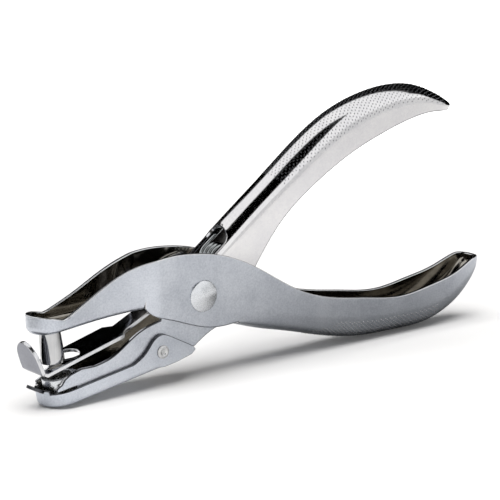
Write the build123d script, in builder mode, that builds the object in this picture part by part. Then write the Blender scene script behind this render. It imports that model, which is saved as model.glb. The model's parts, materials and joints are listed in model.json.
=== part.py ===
from build123d import *
import os
from math import asin, atan2, cos, degrees, hypot, pi, radians, sin, sqrt

os.makedirs("parts", exist_ok=True)

# Driving dimensions in mm and degrees. Side-view points (x, z) are measured from the main pivot:
# x runs from the jaws towards the handles and z runs up. The object stands on z = 0 of the frame.
PIVOT_X = -26.15
PIVOT_Z = 23.4
REACH = 40.0
FRONT_LIMIT = -60.0
REAR_LIMIT = 110.0
SNUG = 0.02
SLIP = 0.05

SHEET = 1.1
BEND = 2.0
INNER_BEND = 0.9
RUN_GAP = 0.2

# Punch lever: upper jaw, pivot cheeks and lower handle, pressed from one sheet.
LEVER_HALF = 7.0
HUMP_X = -13.5
WAIST = [(-17.0, 6.3), (-21.5, 5.35), (-27.0, 4.85), (-35.0, 4.95)]
NOSE_X = -44.8
NOSE_R = 5.8
NOSE_RIM = [(FRONT_LIMIT, 2.2), (-49.5, 1.65), (-46.5, 1.15), (-43.3, 0.45), (-41.8, 0.85)]
WEB_TILT = 4.2
WEB_BELOW_NOSE = -3.15
WEB_END = -22.5
WALL_NOTCH = (-18.2, -0.9)
JOIN_X = 12.0
CHEEK_RIM = [(-40.0, 1.7), (-34.7, 4.3), (-28.2, 7.7), (-22.0, 10.3), (-15.0, 11.9), (-9.0, 12.45),
             (-2.0, 12.05), (5.8, 10.6), (JOIN_X, 8.4)]
CHEEK_EDGE = [(-17.4, -1.9), (-11.1, -4.9), (-4.6, -7.3), (3.5, -9.4), (JOIN_X, -9.2)]

# Lower handle stations: rim point, crown point, half width and height of the rounded crown.
LOWER_GRIP = [
    ((JOIN_X, 8.4), (JOIN_X, -10.6), 7.0, 1.6),
    ((22.0, 3.0), (22.0, -13.9), 7.0, 4.4),
    ((32.0, -3.0), (32.0, -16.5), 6.9, 5.4),
    ((44.0, -7.5), (44.0, -19.8), 6.7, 6.2),
    ((58.0, -10.0), (58.0, -22.5), 6.5, 6.5),
    ((72.0, -11.7), (72.0, -22.98), 6.4, 6.4),
    ((84.0, -10.2), (84.0, -22.5), 6.3, 6.3),
    ((94.0, -8.1), (94.5, -18.9), 5.8, 5.9),
    ((100.4, -5.6), (100.8, -13.9), 5.0, 4.8),
    ((103.6, -4.8), (103.9, -9.8), 3.9, 3.1),
    ((105.1, -5.1), (105.2, -7.2), 2.2, 1.3),
]

# Upper handle stations, the same way round: the crown is on top and the rim below.
UPPER_GRIP = [
    ((14.0, -2.0), (2.0, 10.1), 5.7, 4.0),
    ((21.0, 8.0), (12.0, 17.7), 5.7, 4.2),
    ((27.5, 15.9), (20.0, 23.7), 5.7, 4.5),
    ((35.0, 22.3), (28.9, 30.3), 5.9, 4.9),
    ((45.5, 29.0), (39.5, 38.2), 6.2, 5.4),
    ((54.5, 33.5), (49.8, 44.4), 6.3, 5.8),
    ((64.5, 37.2), (61.8, 48.7), 6.3, 5.8),
    ((73.5, 39.8), (72.5, 50.2), 6.2, 5.4),
    ((80.8, 41.1), (81.2, 49.3), 5.9, 4.6),
    ((86.6, 41.2), (88.1, 46.4), 5.2, 3.4),
    ((91.0, 40.9), (92.6, 43.9), 4.1, 2.0),
    ((93.4, 40.9), (94.5, 42.5), 2.7, 1.0),
]
SLOT_HALF = 4.7
SLOT_END = (8.1, 13.0)
SLOT_SLOPE = 36.5
SLOT_DEPTH = 2.7

# Die lever: upper handle, pivot cheeks and lower jaw walls.
DIE_HALF = LEVER_HALF - SHEET - RUN_GAP
JAW_TOP = [(-13.3, -4.9), (-19.4, -6.6), (-23.5, -8.9), (-29.2, -12.3), (-34.3, -13.6)]
JAW_BUMP = [(-38.6, -13.6), (-42.0, -14.6), (-43.7, -15.6), (-44.7, -16.9)]
JAW_FRONT = [(-46.3, -17.8), (-46.3, -18.9), (-40.4, -18.05), (-40.4, -19.45)]
JAW_HEEL = (-12.0, -15.2)
JAW_REAR = [(-2.3, -13.9), (4.0, -10.3), (9.6, -8.0), (14.0, -2.0)]
CHEEK_FRONT = [(-12.6, -2.0), (-9.5, 4.0), (-4.5, 8.6), (2.0, 10.1)]

# Pivot: one rivet with a domed head on each cheek and a spacer sleeve between the inner cheeks.
RIVET_R = 2.4
RIVET_HEAD_R = 4.4
RIVET_DOME = 1.5
SLEEVE_R = 3.2

# Punch pin, riveted into the jaw web, relieved towards its root.
PIN_X = -44.45
PIN_R = 3.175
PIN_ROOT_R = 2.85
PIN_LENGTH = 8.8
PIN_LAND = 2.5
PIN_CUP = 0.6
TENON_R = 1.9
TENON_HEAD_R = 2.7
TENON_HEAD = 0.8
TENON_RIM = 0.2

# Die block: centred where the pin arrives when the handles are squeezed.
CLOSE = 6.5
DIE_DEPTH = 1.2
DIE_GAP = 0.3
DIE_TALL = 4.4
DIE_LAND = 1.6
DIE_RELIEF = 0.45
DIE_TAIL = 4.6

# Stripper: a spring strip with an eye round the sleeve and a turned-up lip.
STRIP = 1.0
STRIP_HALF = 5.3
TONGUE_HALF = 3.0
STRIP_SLOPE = 15.2
STRIP_FRONT = (-49.4, -14.0)
STRIP_BACK_X = -23.0
STRIP_TAPER = 2.0
LIP_LEAN = 18.5
LIP_TALL = 9.5
LIP_BEND = 1.2
LIP_LEAF = [(5.15, 3.8), (4.75, 6.0), (3.6, 7.8), (2.4, 8.8)]
LIP_SHOULDER = 2.5
STRIP_HOLE_R = 4.4
STRIP_HOLE_RUN = 3.4
STRIP_HOLE_BACK = 1.3
EYE_TURN = 275.0

# Chip tray under the lower jaw.
TRAY_SHEET = 0.85
TRAY_TILT = 9.7
TRAY_HALF = DIE_HALF + RUN_GAP + TRAY_SHEET
TRAY_NOSE = (-41.2, -22.48)
TRAY_WALL = 4.0
TRAY_FRONT_WALL = 4.9
TRAY_STEP = -5.6
TRAY_BEND = 1.4
TRAY_FLOOR_END = 27.0
TRAY_EAR_START = 19.5
TRAY_FOOT_END = 33.0
THUMB_ROOT = (-48.2, -19.0)
THUMB_SLOPE = -27.0
THUMB_LENGTH = 3.9
THUMB_HALF = 2.2
EAR = [(-18.4, -12.3), (-15.6, -9.2), (-13.6, -8.5), (-11.0, -9.3)]
EAR_TAIL = (-3.6, -13.3)
EAR_TIP = (-2.7, -14.4)
EAR_FOOT = (-3.9, -15.6)
HINGE = (-13.5, -13.3)
HINGE_R = 1.25
HINGE_HEAD_R = 1.85
HINGE_DOME = 0.55

# Return spring: a torsion coil behind the pivot with one leg along each handle.
WIRE_R = 0.55
COIL_R = 4.3
COIL_AT = (10.2, 7.4)
COIL_PITCH = 1.7
COIL_TURNS = 3
UPPER_LEG_DIR = 37.0
UPPER_LEG = 26.0
LOWER_LEG_DIR = -39.0
LOWER_LEG = 27.4
COIL_STEPS = 14

# Spare depth of the lofted handles below their rims, trimmed off along the rim line.
RIM_SPARE = 6.0

SIDE = Plane(origin=(PIVOT_X, 0, PIVOT_Z), x_dir=(1, 0, 0), z_dir=(0, -1, 0))
PLAN = Plane(origin=(PIVOT_X, 0, PIVOT_Z), x_dir=(1, 0, 0), z_dir=(0, 0, 1))
PIVOT_AXIS = Axis((PIVOT_X, 0, PIVOT_Z), (0, 1, 0))


def tilted_plane(x, z, slope):
    """Plane across the object through a side-view point, rising towards the handles by slope degrees."""
    rise = radians(slope)
    return Plane(origin=(PIVOT_X + x, 0, PIVOT_Z + z), x_dir=(cos(rise), 0, sin(rise)),
                 z_dir=(-sin(rise), 0, cos(rise)))


def web_z(x):
    """Height of the underside of the upper jaw's web."""
    return WEB_BELOW_NOSE + (x - NOSE_X) * sin(radians(WEB_TILT)) / cos(radians(WEB_TILT))


def squeezed(x, z, angle):
    """A side-view point of the punch lever after the handles close by angle degrees."""
    turn = radians(angle)
    return (x * cos(turn) - z * sin(turn), x * sin(turn) + z * cos(turn))


def jaw_plan(inset, rear):
    """Plan outline of the punch lever's front part with its walls moved inwards by inset."""
    flare = [(HUMP_X, LEVER_HALF)] + WAIST + [(NOSE_X, NOSE_R)]
    far = [(x, y - inset) for x, y in flare]
    near = [(x, -y) for x, y in reversed(far)]
    with BuildSketch(PLAN.offset(-REACH)) as outline:
        with BuildLine():
            Line((rear, far[0][1]), far[0])
            Spline(*far, tangents=[(-1, 0), (-1, 0)])
            CenterArc((NOSE_X, 0), NOSE_R - inset, 90, 180)
            Spline(*near, tangents=[(1, 0), (1, 0)])
            Polyline(near[-1], (rear, near[-1][1]), (rear, far[0][1]))
        make_face()
    return outline.sketch


def channel(stations, wall):
    """Sections of a round-crowned channel at its stations, its outside moved inwards by wall."""
    sections = []
    for rim, crown, half, arch in stations:
        across = crown[0] - rim[0]
        up = crown[1] - rim[1]
        side = hypot(across, up) - arch
        place = Plane(origin=(PIVOT_X + rim[0], 0, PIVOT_Z + rim[1]), x_dir=(0, 1, 0),
                      z_dir=(up, 0, -across))
        with BuildSketch(place) as section:
            with BuildLine():
                low = -RIM_SPARE - wall
                Polyline((half - wall, side), (half - wall, low), (wall - half, low), (wall - half, side))
                EllipticalCenterArc((0, side), half - wall, arch - wall, start_angle=0, arc_size=180)
            make_face()
        sections.append(section.sketch)
    return sections


# Hollow of the upper jaw, open through the bottom behind the web.
with BuildPart() as jaw_hollow:
    extrude(jaw_plan(SHEET, JOIN_X + 1), amount=2 * REACH)
    with BuildSketch(SIDE):
        with BuildLine():
            Polyline((FRONT_LIMIT, web_z(FRONT_LIMIT) + SHEET), (WEB_END, web_z(WEB_END) + SHEET),
                     (WEB_END, -REACH), (JOIN_X + 1, -REACH), (JOIN_X + 1, REACH), (FRONT_LIMIT, REACH),
                     close=True)
        make_face()
    extrude(amount=REACH, both=True, mode=Mode.INTERSECT)
    web_top = jaw_hollow.faces().filter_by(lambda f: abs(f.normal_at().Z + cos(radians(WEB_TILT))) < 1e-5)
    fillet(web_top.edges().sort_by(Axis.X)[:-1], INNER_BEND)

with BuildPart() as lower_hollow:
    loft(channel(LOWER_GRIP[:-1], SHEET))

with BuildPart() as lower_grip:
    loft(channel(LOWER_GRIP, 0))
    with BuildSketch(SIDE):
        with BuildLine():
            Spline(*[station[0] for station in LOWER_GRIP])
            tip = LOWER_GRIP[-1][0]
            Polyline(tip, (REAR_LIMIT, tip[1]), (REAR_LIMIT, REACH), (JOIN_X, REACH), LOWER_GRIP[0][0])
        make_face()
    extrude(amount=REACH, both=True, mode=Mode.SUBTRACT)
    add(lower_hollow.part, mode=Mode.SUBTRACT)

with BuildPart() as punch_lever:
    extrude(jaw_plan(0, JOIN_X), amount=2 * REACH)
    with BuildSketch(SIDE):
        with BuildLine():
            notch_x = WALL_NOTCH[0]
            Polyline((FRONT_LIMIT, web_z(FRONT_LIMIT)), (notch_x, web_z(notch_x)), (notch_x, -REACH),
                     (JOIN_X, -REACH), (JOIN_X, REACH), (FRONT_LIMIT, REACH), close=True)
        make_face()
    extrude(amount=REACH, both=True, mode=Mode.INTERSECT)
    web = punch_lever.faces().filter_by(lambda f: abs(f.normal_at().Z + cos(radians(WEB_TILT))) < 1e-5)
    fillet(web.edges().sort_by(Axis.X)[:-1], BEND)
    with BuildSketch(SIDE):
        with BuildLine():
            Polyline(*NOSE_RIM, CHEEK_RIM[0])
            Spline(*CHEEK_RIM)
            Line(CHEEK_RIM[-1], CHEEK_EDGE[-1])
            Spline(*reversed(CHEEK_EDGE))
            Polyline(CHEEK_EDGE[0], WALL_NOTCH, (WALL_NOTCH[0], -REACH), (FRONT_LIMIT, -REACH), NOSE_RIM[0])
        make_face()
    extrude(amount=REACH, both=True, mode=Mode.INTERSECT)
    add(jaw_hollow.part, mode=Mode.SUBTRACT)
    add(lower_grip.part)
    with BuildSketch(SIDE):
        Circle(RIVET_R + SNUG)
    extrude(amount=REACH, both=True, mode=Mode.SUBTRACT)
    with BuildSketch(tilted_plane(PIN_X, web_z(PIN_X), WEB_TILT)):
        Circle(TENON_R + SNUG)
    extrude(amount=2 * SHEET, mode=Mode.SUBTRACT)
punch_lever.part.label = "punch_lever"
export_step(punch_lever.part, "parts/punch_lever.step")

with BuildPart() as upper_hollow:
    loft(channel(UPPER_GRIP[:-1], SHEET))

with BuildPart() as upper_grip:
    loft(channel(UPPER_GRIP, 0))
    with BuildSketch(SIDE):
        with BuildLine():
            Spline(*[station[0] for station in UPPER_GRIP])
            tip, root = UPPER_GRIP[-1][0], UPPER_GRIP[0][0]
            Polyline(tip, (REAR_LIMIT, tip[1]), (REAR_LIMIT, -REACH), (root[0], -REACH), root)
        make_face()
    extrude(amount=REACH, both=True, mode=Mode.SUBTRACT)
    add(upper_hollow.part, mode=Mode.SUBTRACT)
    with BuildSketch(tilted_plane(SLOT_END[0], SLOT_END[1], SLOT_SLOPE).offset(-SLOT_DEPTH)):
        with Locations((-REACH / 4, 0)):
            Rectangle(REACH / 2, 2 * SLOT_HALF)
        Circle(SLOT_HALF)
    extrude(amount=3 * SLOT_DEPTH, mode=Mode.SUBTRACT)

with BuildPart() as die_lever:
    with BuildSketch(SIDE):
        with BuildLine():
            Spline(*CHEEK_FRONT)
            Polyline(CHEEK_FRONT[-1], JAW_REAR[-1])
            Spline(*reversed(JAW_REAR))
            Polyline(JAW_REAR[0], JAW_HEEL, *reversed(JAW_FRONT), *reversed(JAW_BUMP), JAW_TOP[-1])
            Spline(*reversed(JAW_TOP))
            Line(JAW_TOP[0], CHEEK_FRONT[0])
        make_face()
        Circle(RIVET_R + SLIP, mode=Mode.SUBTRACT)
        with Locations(HINGE):
            Circle(HINGE_R + SNUG, mode=Mode.SUBTRACT)
    extrude(amount=DIE_HALF, both=True)
    with BuildSketch(SIDE):
        Rectangle(2 * REAR_LIMIT, 2 * REAR_LIMIT)
    extrude(amount=DIE_HALF - SHEET, both=True, mode=Mode.SUBTRACT)
    add(upper_grip.part)
die_lever.part.label = "die_lever"
export_step(die_lever.part, "parts/die_lever.step")

with BuildPart() as pivot_rivet:
    with BuildSketch(PLAN):
        with BuildLine():
            dome_top = LEVER_HALF + RIVET_DOME
            Polyline((0, -dome_top), (0, dome_top))
            RadiusArc((0, dome_top), (RIVET_HEAD_R, LEVER_HALF),
                      (RIVET_HEAD_R ** 2 + RIVET_DOME ** 2) / (2 * RIVET_DOME))
            Polyline((RIVET_HEAD_R, LEVER_HALF), (RIVET_R, LEVER_HALF), (RIVET_R, -LEVER_HALF),
                     (RIVET_HEAD_R, -LEVER_HALF))
            RadiusArc((RIVET_HEAD_R, -LEVER_HALF), (0, -dome_top),
                      (RIVET_HEAD_R ** 2 + RIVET_DOME ** 2) / (2 * RIVET_DOME))
        make_face()
    revolve(axis=PIVOT_AXIS)
pivot_rivet.part.label = "pivot_rivet"
export_step(pivot_rivet.part, "parts/pivot_rivet.step")

with BuildPart() as pivot_sleeve:
    with BuildSketch(SIDE):
        Circle(SLEEVE_R)
        Circle(RIVET_R + SLIP, mode=Mode.SUBTRACT)
    extrude(amount=DIE_HALF - SHEET, both=True)
pivot_sleeve.part.label = "pivot_sleeve"
export_step(pivot_sleeve.part, "parts/pivot_sleeve.step")

# The pin stands square to the web: its profile is drawn from the web's underside, y pointing down.
pin_base = tilted_plane(PIN_X, web_z(PIN_X), WEB_TILT)
with BuildPart() as punch_pin:
    with BuildSketch(Plane(origin=pin_base.origin, x_dir=pin_base.x_dir, z_dir=(0, -1, 0))):
        with BuildLine():
            Polyline((0, SHEET + TENON_HEAD), (TENON_R, SHEET + TENON_HEAD),
                     (TENON_HEAD_R, SHEET + TENON_RIM), (TENON_HEAD_R, SHEET), (TENON_R, SHEET), (TENON_R, 0),
                     (PIN_ROOT_R, 0), (PIN_R, PIN_LAND - PIN_LENGTH), (PIN_R, -PIN_LENGTH),
                     (0, PIN_CUP - PIN_LENGTH), close=True)
        make_face()
    revolve(axis=Axis(pin_base.origin, pin_base.z_dir))
punch_pin.part.label = "punch_pin"
export_step(punch_pin.part, "parts/punch_pin.step")

# The die's top lies across the pin's axis in its closed place, DIE_DEPTH above the pin's end.
closed_root = squeezed(PIN_X, web_z(PIN_X), CLOSE)
die_tilt = WEB_TILT + CLOSE
die_run = PIN_LENGTH - DIE_DEPTH
die_x = closed_root[0] + die_run * sin(radians(die_tilt))
die_z = closed_root[1] - die_run * cos(radians(die_tilt))
die_top = tilted_plane(die_x, die_z, die_tilt)
print("die top centre", round(die_x, 2), round(die_z, 2), "tilt", die_tilt)
block_half = DIE_HALF - SHEET
with BuildPart() as die_block:
    with BuildSketch(die_top):
        with Locations((DIE_TAIL / 2, 0)):
            Rectangle(DIE_TAIL, 2 * block_half)
        Circle(block_half)
    extrude(amount=-DIE_TALL)
    with BuildSketch(die_top):
        Circle(PIN_R + DIE_GAP)
    extrude(amount=-DIE_TALL, mode=Mode.SUBTRACT)
    with BuildSketch(die_top.offset(-DIE_LAND)):
        Circle(PIN_R + DIE_GAP + DIE_RELIEF)
    extrude(amount=-DIE_TALL, mode=Mode.SUBTRACT)
die_block.part.label = "die_block"
export_step(die_block.part, "parts/die_block.step")

# Stripper: the strip's middle line in side view, thickened and cut to its plan.
slope = radians(STRIP_SLOPE)
strip_back = (STRIP_BACK_X, STRIP_FRONT[1] + (STRIP_BACK_X - STRIP_FRONT[0]) * sin(slope) / cos(slope))
eye_r = SLEEVE_R + SLIP + STRIP / 2
lead = atan2(-strip_back[1], -strip_back[0]) + asin(eye_r / hypot(*strip_back))
eye_start = 90 + degrees(lead)
eye_touch = (eye_r * cos(radians(eye_start)), eye_r * sin(radians(eye_start)))
lip_lean = radians(LIP_LEAN)
lip_top = (STRIP_FRONT[0] - LIP_TALL * sin(lip_lean), STRIP_FRONT[1] + LIP_TALL * cos(lip_lean))
with BuildPart() as stripper:
    with BuildSketch(SIDE):
        with BuildLine():
            FilletPolyline(lip_top, STRIP_FRONT, strip_back, eye_touch, radius=LIP_BEND)
            CenterArc((0, 0), eye_r, eye_start, -EYE_TURN)
        trace(line_width=STRIP)
    extrude(amount=STRIP_HALF, both=True)
    with BuildSketch(PLAN.offset(-REACH)):
        with BuildLine():
            taper = STRIP_BACK_X - STRIP_TAPER
            Polyline((FRONT_LIMIT, -STRIP_HALF), (taper, -STRIP_HALF), (STRIP_BACK_X, -TONGUE_HALF),
                     (REACH, -TONGUE_HALF), (REACH, TONGUE_HALF), (STRIP_BACK_X, TONGUE_HALF),
                     (taper, STRIP_HALF), (FRONT_LIMIT, STRIP_HALF), close=True)
        make_face()
    extrude(amount=2 * REACH, mode=Mode.INTERSECT)
    with BuildSketch(tilted_plane(die_x + STRIP_HOLE_BACK, die_z, STRIP_SLOPE)):
        SlotCenterToCenter(STRIP_HOLE_RUN, 2 * STRIP_HOLE_R)
    extrude(amount=PIN_LENGTH, mode=Mode.SUBTRACT)
    lip_face = Plane(origin=(PIVOT_X + STRIP_FRONT[0], 0, PIVOT_Z + STRIP_FRONT[1]), x_dir=(0, 1, 0),
                     z_dir=(cos(lip_lean), 0, sin(lip_lean)))
    with BuildSketch(lip_face):
        with BuildLine():
            shoulder = (STRIP_HALF, LIP_SHOULDER)
            leaf = [shoulder] + LIP_LEAF + [(0, LIP_TALL)]
            Spline(*leaf, *[(-y, up) for y, up in reversed(leaf[:-1])])
            wide, tall = 2 * STRIP_HALF, 2 * LIP_TALL
            Polyline((-STRIP_HALF, LIP_SHOULDER), (-wide, LIP_SHOULDER), (-wide, tall), (wide, tall),
                     (wide, LIP_SHOULDER), shoulder)
        make_face()
    extrude(amount=LIP_TALL, both=True, mode=Mode.SUBTRACT)
stripper.part.label = "stripper"
export_step(stripper.part, "parts/stripper.step")

# Chip tray: a trough with a round nose, two ears for the hinge and a thumb leaf on its front wall.
tray_base = tilted_plane(TRAY_NOSE[0], TRAY_NOSE[1], TRAY_TILT)


def tray_plan(half):
    """Plan of the trough on its own base: a half circle in front and straight sides behind."""
    with BuildSketch(tray_base) as outline:
        Circle(half)
        with Locations((REACH / 2, 0)):
            Rectangle(REACH, 2 * half)
    return outline.sketch


def tray_point(along, above):
    """Side-view point of the tray from its distance along the floor and its height above it."""
    tilt = radians(TRAY_TILT)
    return (TRAY_NOSE[0] + along * cos(tilt) - above * sin(tilt),
            TRAY_NOSE[1] + along * sin(tilt) + above * cos(tilt))


with BuildPart() as tray_hollow:
    extrude(tray_plan(TRAY_HALF - TRAY_SHEET), amount=REACH)
    inner_floor = tray_hollow.faces().sort_by(Axis(tray_base.origin, tray_base.z_dir))[0]
    fillet(inner_floor.edges(), TRAY_BEND - TRAY_SHEET)

with BuildPart() as chip_tray:
    extrude(tray_plan(TRAY_HALF), amount=REACH)
    outer_floor = chip_tray.faces().sort_by(Axis(tray_base.origin, tray_base.z_dir))[0]
    fillet(outer_floor.edges().sort_by(Axis(tray_base.origin, tray_base.x_dir))[:-1], TRAY_BEND)
    add(tray_hollow.part.moved(Location(tray_base.z_dir * TRAY_SHEET)), mode=Mode.SUBTRACT)
    with BuildSketch(tray_base):
        with Locations((TRAY_FLOOR_END + REACH / 2, 0)):
            Rectangle(REACH, 2 * (TRAY_HALF - TRAY_SHEET))
    extrude(amount=REACH, mode=Mode.SUBTRACT)
    with BuildSketch(SIDE):
        with BuildLine():
            ear_start = tray_point(TRAY_EAR_START, TRAY_WALL)
            front_top = tray_point(-2 * TRAY_HALF, TRAY_FRONT_WALL)
            foot_end = tray_point(TRAY_FOOT_END, 0)
            Polyline(front_top, tray_point(TRAY_STEP, TRAY_FRONT_WALL), tray_point(TRAY_STEP, TRAY_WALL),
                     ear_start)
            Spline(ear_start, *EAR)
            Line(EAR[-1], EAR_TAIL)
            ThreePointArc(EAR_TAIL, EAR_TIP, EAR_FOOT)
            Polyline(EAR_FOOT, foot_end, (foot_end[0], -REACH), (front_top[0], -REACH), front_top)
        make_face()
    extrude(amount=REACH, both=True, mode=Mode.INTERSECT)
    with BuildSketch(tilted_plane(THUMB_ROOT[0], THUMB_ROOT[1], THUMB_SLOPE).offset(-TRAY_SHEET / 2)):
        thumb_run = THUMB_LENGTH - THUMB_HALF
        with Locations((-thumb_run / 2, 0)):
            Rectangle(thumb_run, 2 * THUMB_HALF)
        with Locations((-thumb_run, 0)):
            Circle(THUMB_HALF)
    extrude(amount=TRAY_SHEET)
    with BuildSketch(SIDE):
        with Locations(HINGE):
            Circle(HINGE_R + SLIP)
    extrude(amount=REACH, both=True, mode=Mode.SUBTRACT)
chip_tray.part.label = "chip_tray"
export_step(chip_tray.part, "parts/chip_tray.step")

# Two short rivets that carry the tray, one through each ear and jaw wall.
hinge_axis = Axis((PIVOT_X + HINGE[0], 0, PIVOT_Z + HINGE[1]), (0, 1, 0))
with BuildPart() as tray_pins:
    with BuildSketch(Plane(origin=hinge_axis.position, x_dir=(1, 0, 0), z_dir=(0, 0, 1))):
        with BuildLine():
            head = TRAY_HALF + SLIP
            stub = DIE_HALF - SHEET - RUN_GAP
            Polyline((0, stub), (HINGE_R, stub), (HINGE_R, head), (HINGE_HEAD_R, head))
            RadiusArc((HINGE_HEAD_R, head), (0, head + HINGE_DOME),
                      -(HINGE_HEAD_R ** 2 + HINGE_DOME ** 2) / (2 * HINGE_DOME))
            Line((0, head + HINGE_DOME), (0, stub))
        make_face()
    revolve(axis=hinge_axis)
    mirror(about=Plane.XZ)
tray_pins.part.label = "tray_pins"
export_step(tray_pins.part, "parts/tray_pins.step")


coil_total = 360 * COIL_TURNS + LOWER_LEG_DIR - UPPER_LEG_DIR + 180


def coil_node(turn):
    """Point and heading on the coil's middle line, turn degrees after the upper leg joins it."""
    angle = radians(UPPER_LEG_DIR + 90 + turn)
    along = COIL_PITCH * (coil_total / 2 - turn) / 360
    climb = 0 if turn in (0, coil_total) else -COIL_PITCH / (2 * pi)
    point = Vector(PIVOT_X + COIL_AT[0] + COIL_R * cos(angle), along,
                   PIVOT_Z + COIL_AT[1] + COIL_R * sin(angle))
    heading = Vector(-COIL_R * sin(angle), climb, COIL_R * cos(angle)).normalized()
    return point, heading


def biarc(start, start_heading, end, end_heading):
    """Middle point and heading of the two tangent arcs that join two headed points."""
    chord = end - start
    pull = chord.dot(start_heading + end_heading)
    bow = 2 * (1 - start_heading.dot(end_heading))
    arm = (sqrt(pull ** 2 + bow * chord.dot(chord)) - pull) / bow
    first = start + start_heading * arm
    last = end - end_heading * arm
    return (first + last) / 2, (last - first).normalized()


nodes = [coil_node(coil_total * step / COIL_STEPS) for step in range(COIL_STEPS + 1)]
with BuildPart() as return_spring:
    with BuildLine() as wire:
        Line(nodes[0][0] - nodes[0][1] * UPPER_LEG, nodes[0][0])
        for here, there in zip(nodes, nodes[1:]):
            middle, heading = biarc(here[0], here[1], there[0], there[1])
            TangentArc(here[0], middle, tangent=here[1])
            TangentArc(middle, there[0], tangent=heading)
        Line(nodes[-1][0], nodes[-1][0] + nodes[-1][1] * LOWER_LEG)
    route = wire.wires()[0]
    with BuildSketch(route ^ 0):
        Circle(WIRE_R)
    sweep()
return_spring.part.label = "return_spring"
export_step(return_spring.part, "parts/return_spring.step")

SAMPLES = 600
points = [route @ (step / SAMPLES) for step in range(SAMPLES + 1)]
apart = round(6 * WIRE_R * SAMPLES / route.length)
gap = min((b - a).length for i, a in enumerate(points) for b in points[i + apart:]) - 2 * WIRE_R
print("spring length", round(route.length, 1), "least gap to itself", round(gap, 2))
print("spring volume", round(return_spring.part.volume, 1), "section by length",
      round(pi * WIRE_R ** 2 * route.length, 1))
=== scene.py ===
"""Looks of a one-hole plier punch: two pressed plated levers, pin, die, stripper, chip tray and spring.

Sizes of the pieces are in millimetres and degrees, and side-view points are taken off the main pivot. The
studio's floor, cards and fades are in metres.
"""
import json
import logging
from dataclasses import dataclass
from enum import Enum
from functools import lru_cache
from math import acos, asin, atan2, cos, hypot, pi, radians, sin, sqrt, tan
from typing import Any, Callable, Mapping, Sequence

import bmesh
import bpy
import numpy as np
from mathutils import Matrix, Vector


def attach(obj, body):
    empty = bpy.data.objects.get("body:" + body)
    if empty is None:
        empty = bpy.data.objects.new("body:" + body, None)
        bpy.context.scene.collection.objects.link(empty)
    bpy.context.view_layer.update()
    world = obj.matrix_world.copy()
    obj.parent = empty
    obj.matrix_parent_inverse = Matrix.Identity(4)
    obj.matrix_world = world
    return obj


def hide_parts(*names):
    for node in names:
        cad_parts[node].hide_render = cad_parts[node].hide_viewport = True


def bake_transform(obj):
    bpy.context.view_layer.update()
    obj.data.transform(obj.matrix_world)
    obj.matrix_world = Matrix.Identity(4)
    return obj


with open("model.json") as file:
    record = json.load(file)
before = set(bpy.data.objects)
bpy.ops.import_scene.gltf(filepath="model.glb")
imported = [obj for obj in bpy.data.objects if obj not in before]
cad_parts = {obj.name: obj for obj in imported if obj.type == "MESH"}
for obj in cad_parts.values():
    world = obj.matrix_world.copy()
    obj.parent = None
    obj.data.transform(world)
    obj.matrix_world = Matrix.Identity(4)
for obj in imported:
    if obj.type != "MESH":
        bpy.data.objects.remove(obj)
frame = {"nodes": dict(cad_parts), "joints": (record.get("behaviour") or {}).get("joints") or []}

LOG = logging.getLogger("punch")
MM = 0.001
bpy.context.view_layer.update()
PIVOT = Vector(next(joint["pos_m"] for joint in frame["joints"] if joint["name"] == "squeeze"))

# Knurl of the grips: grid cell, cells from one raised point to the next, height of a point, depth of its
# foot under the face of the sheet, and the farthest row from the crown.
KNURL_CELL = 0.24
KNURL_EVERY = 5
KNURL_RISE = 0.22
KNURL_SINK = 0.03
KNURL_REACH = 11.0
# Last stretch of a handle's run that its round end takes the place of.
END_ROUND = 2.0
# Distances up to which the points of a mesh are merged.
SHEET_MERGE = 0.01
SMALL_MERGE = 0.005
CAD_MERGE = 0.002
FINE_MERGE = 0.001
# Rounded edges: rows of faces on each, and the angle from which an edge counts as sharp.
EDGE_ROWS = 3
SHARP_ANGLE = 42.0
# Noise of the finishes: its settings, and the part of its range that tone and gloss are read from.
FINE_NOISE = {"Detail": 2.0, "Roughness": 0.6}
PATCH_NOISE = {"Detail": 3.0, "Roughness": 0.55}
TONE_RANGE = {"From Min": 0.7, "From Max": 1.3}
GLOSS_RANGE = {"From Min": 0.3, "From Max": 0.7}
# Inputs and output of a colour Mix node.
MIX_FIRST, MIX_SECOND, MIX_RESULT = 6, 7, 2

Pair = tuple[float, float]
Triple = tuple[float, float, float]
# A step along the stripper: its point off the pivot, half width of the hole and half width of the strip.
StripStep = tuple[Vector, float, float]


class Body(Enum):
    """CAD bodies that the pieces ride on."""

    DIE = "die_side"
    PUNCH = "punch_side"
    TRAY = "tray"


class Slot(Enum):
    """Material slots of the record."""

    LEVER = "lever_plate"
    TRAY = "tray_plate"
    RIVET = "rivet_steel"
    PIN = "pin_steel"
    STRIP = "strip_steel"
    WIRE = "spring_wire"


class Grain(Enum):
    """How a surface was worked: the fine grain's scale on each axis, small where the grain is drawn out."""

    BLASTED = (1.0, 1.0, 1.0)
    ALONG_X = (0.06, 1.0, 1.0)
    ALONG_Z = (1.0, 1.0, 0.05)


def place(x: float, y: float, z: float) -> Vector:
    """A point in metres from its millimetres off the main pivot."""
    return PIVOT + Vector((x, y, z)) * MM


def hex_linear(code: str) -> tuple[float, float, float, float]:
    """Turns an sRGB hex colour to linear.

    Args:
        code: the colour as a hash and six digits.

    Returns:
        Its linear red, green, blue and full alpha.
    """
    channels = [int(code[start:start + 2], 16) / 255 for start in (1, 3, 5)]
    red, green, blue = [c / 12.92 if c <= 0.04045 else ((c + 0.055) / 1.055) ** 2.4 for c in channels]
    return red, green, blue, 1.0


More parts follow.
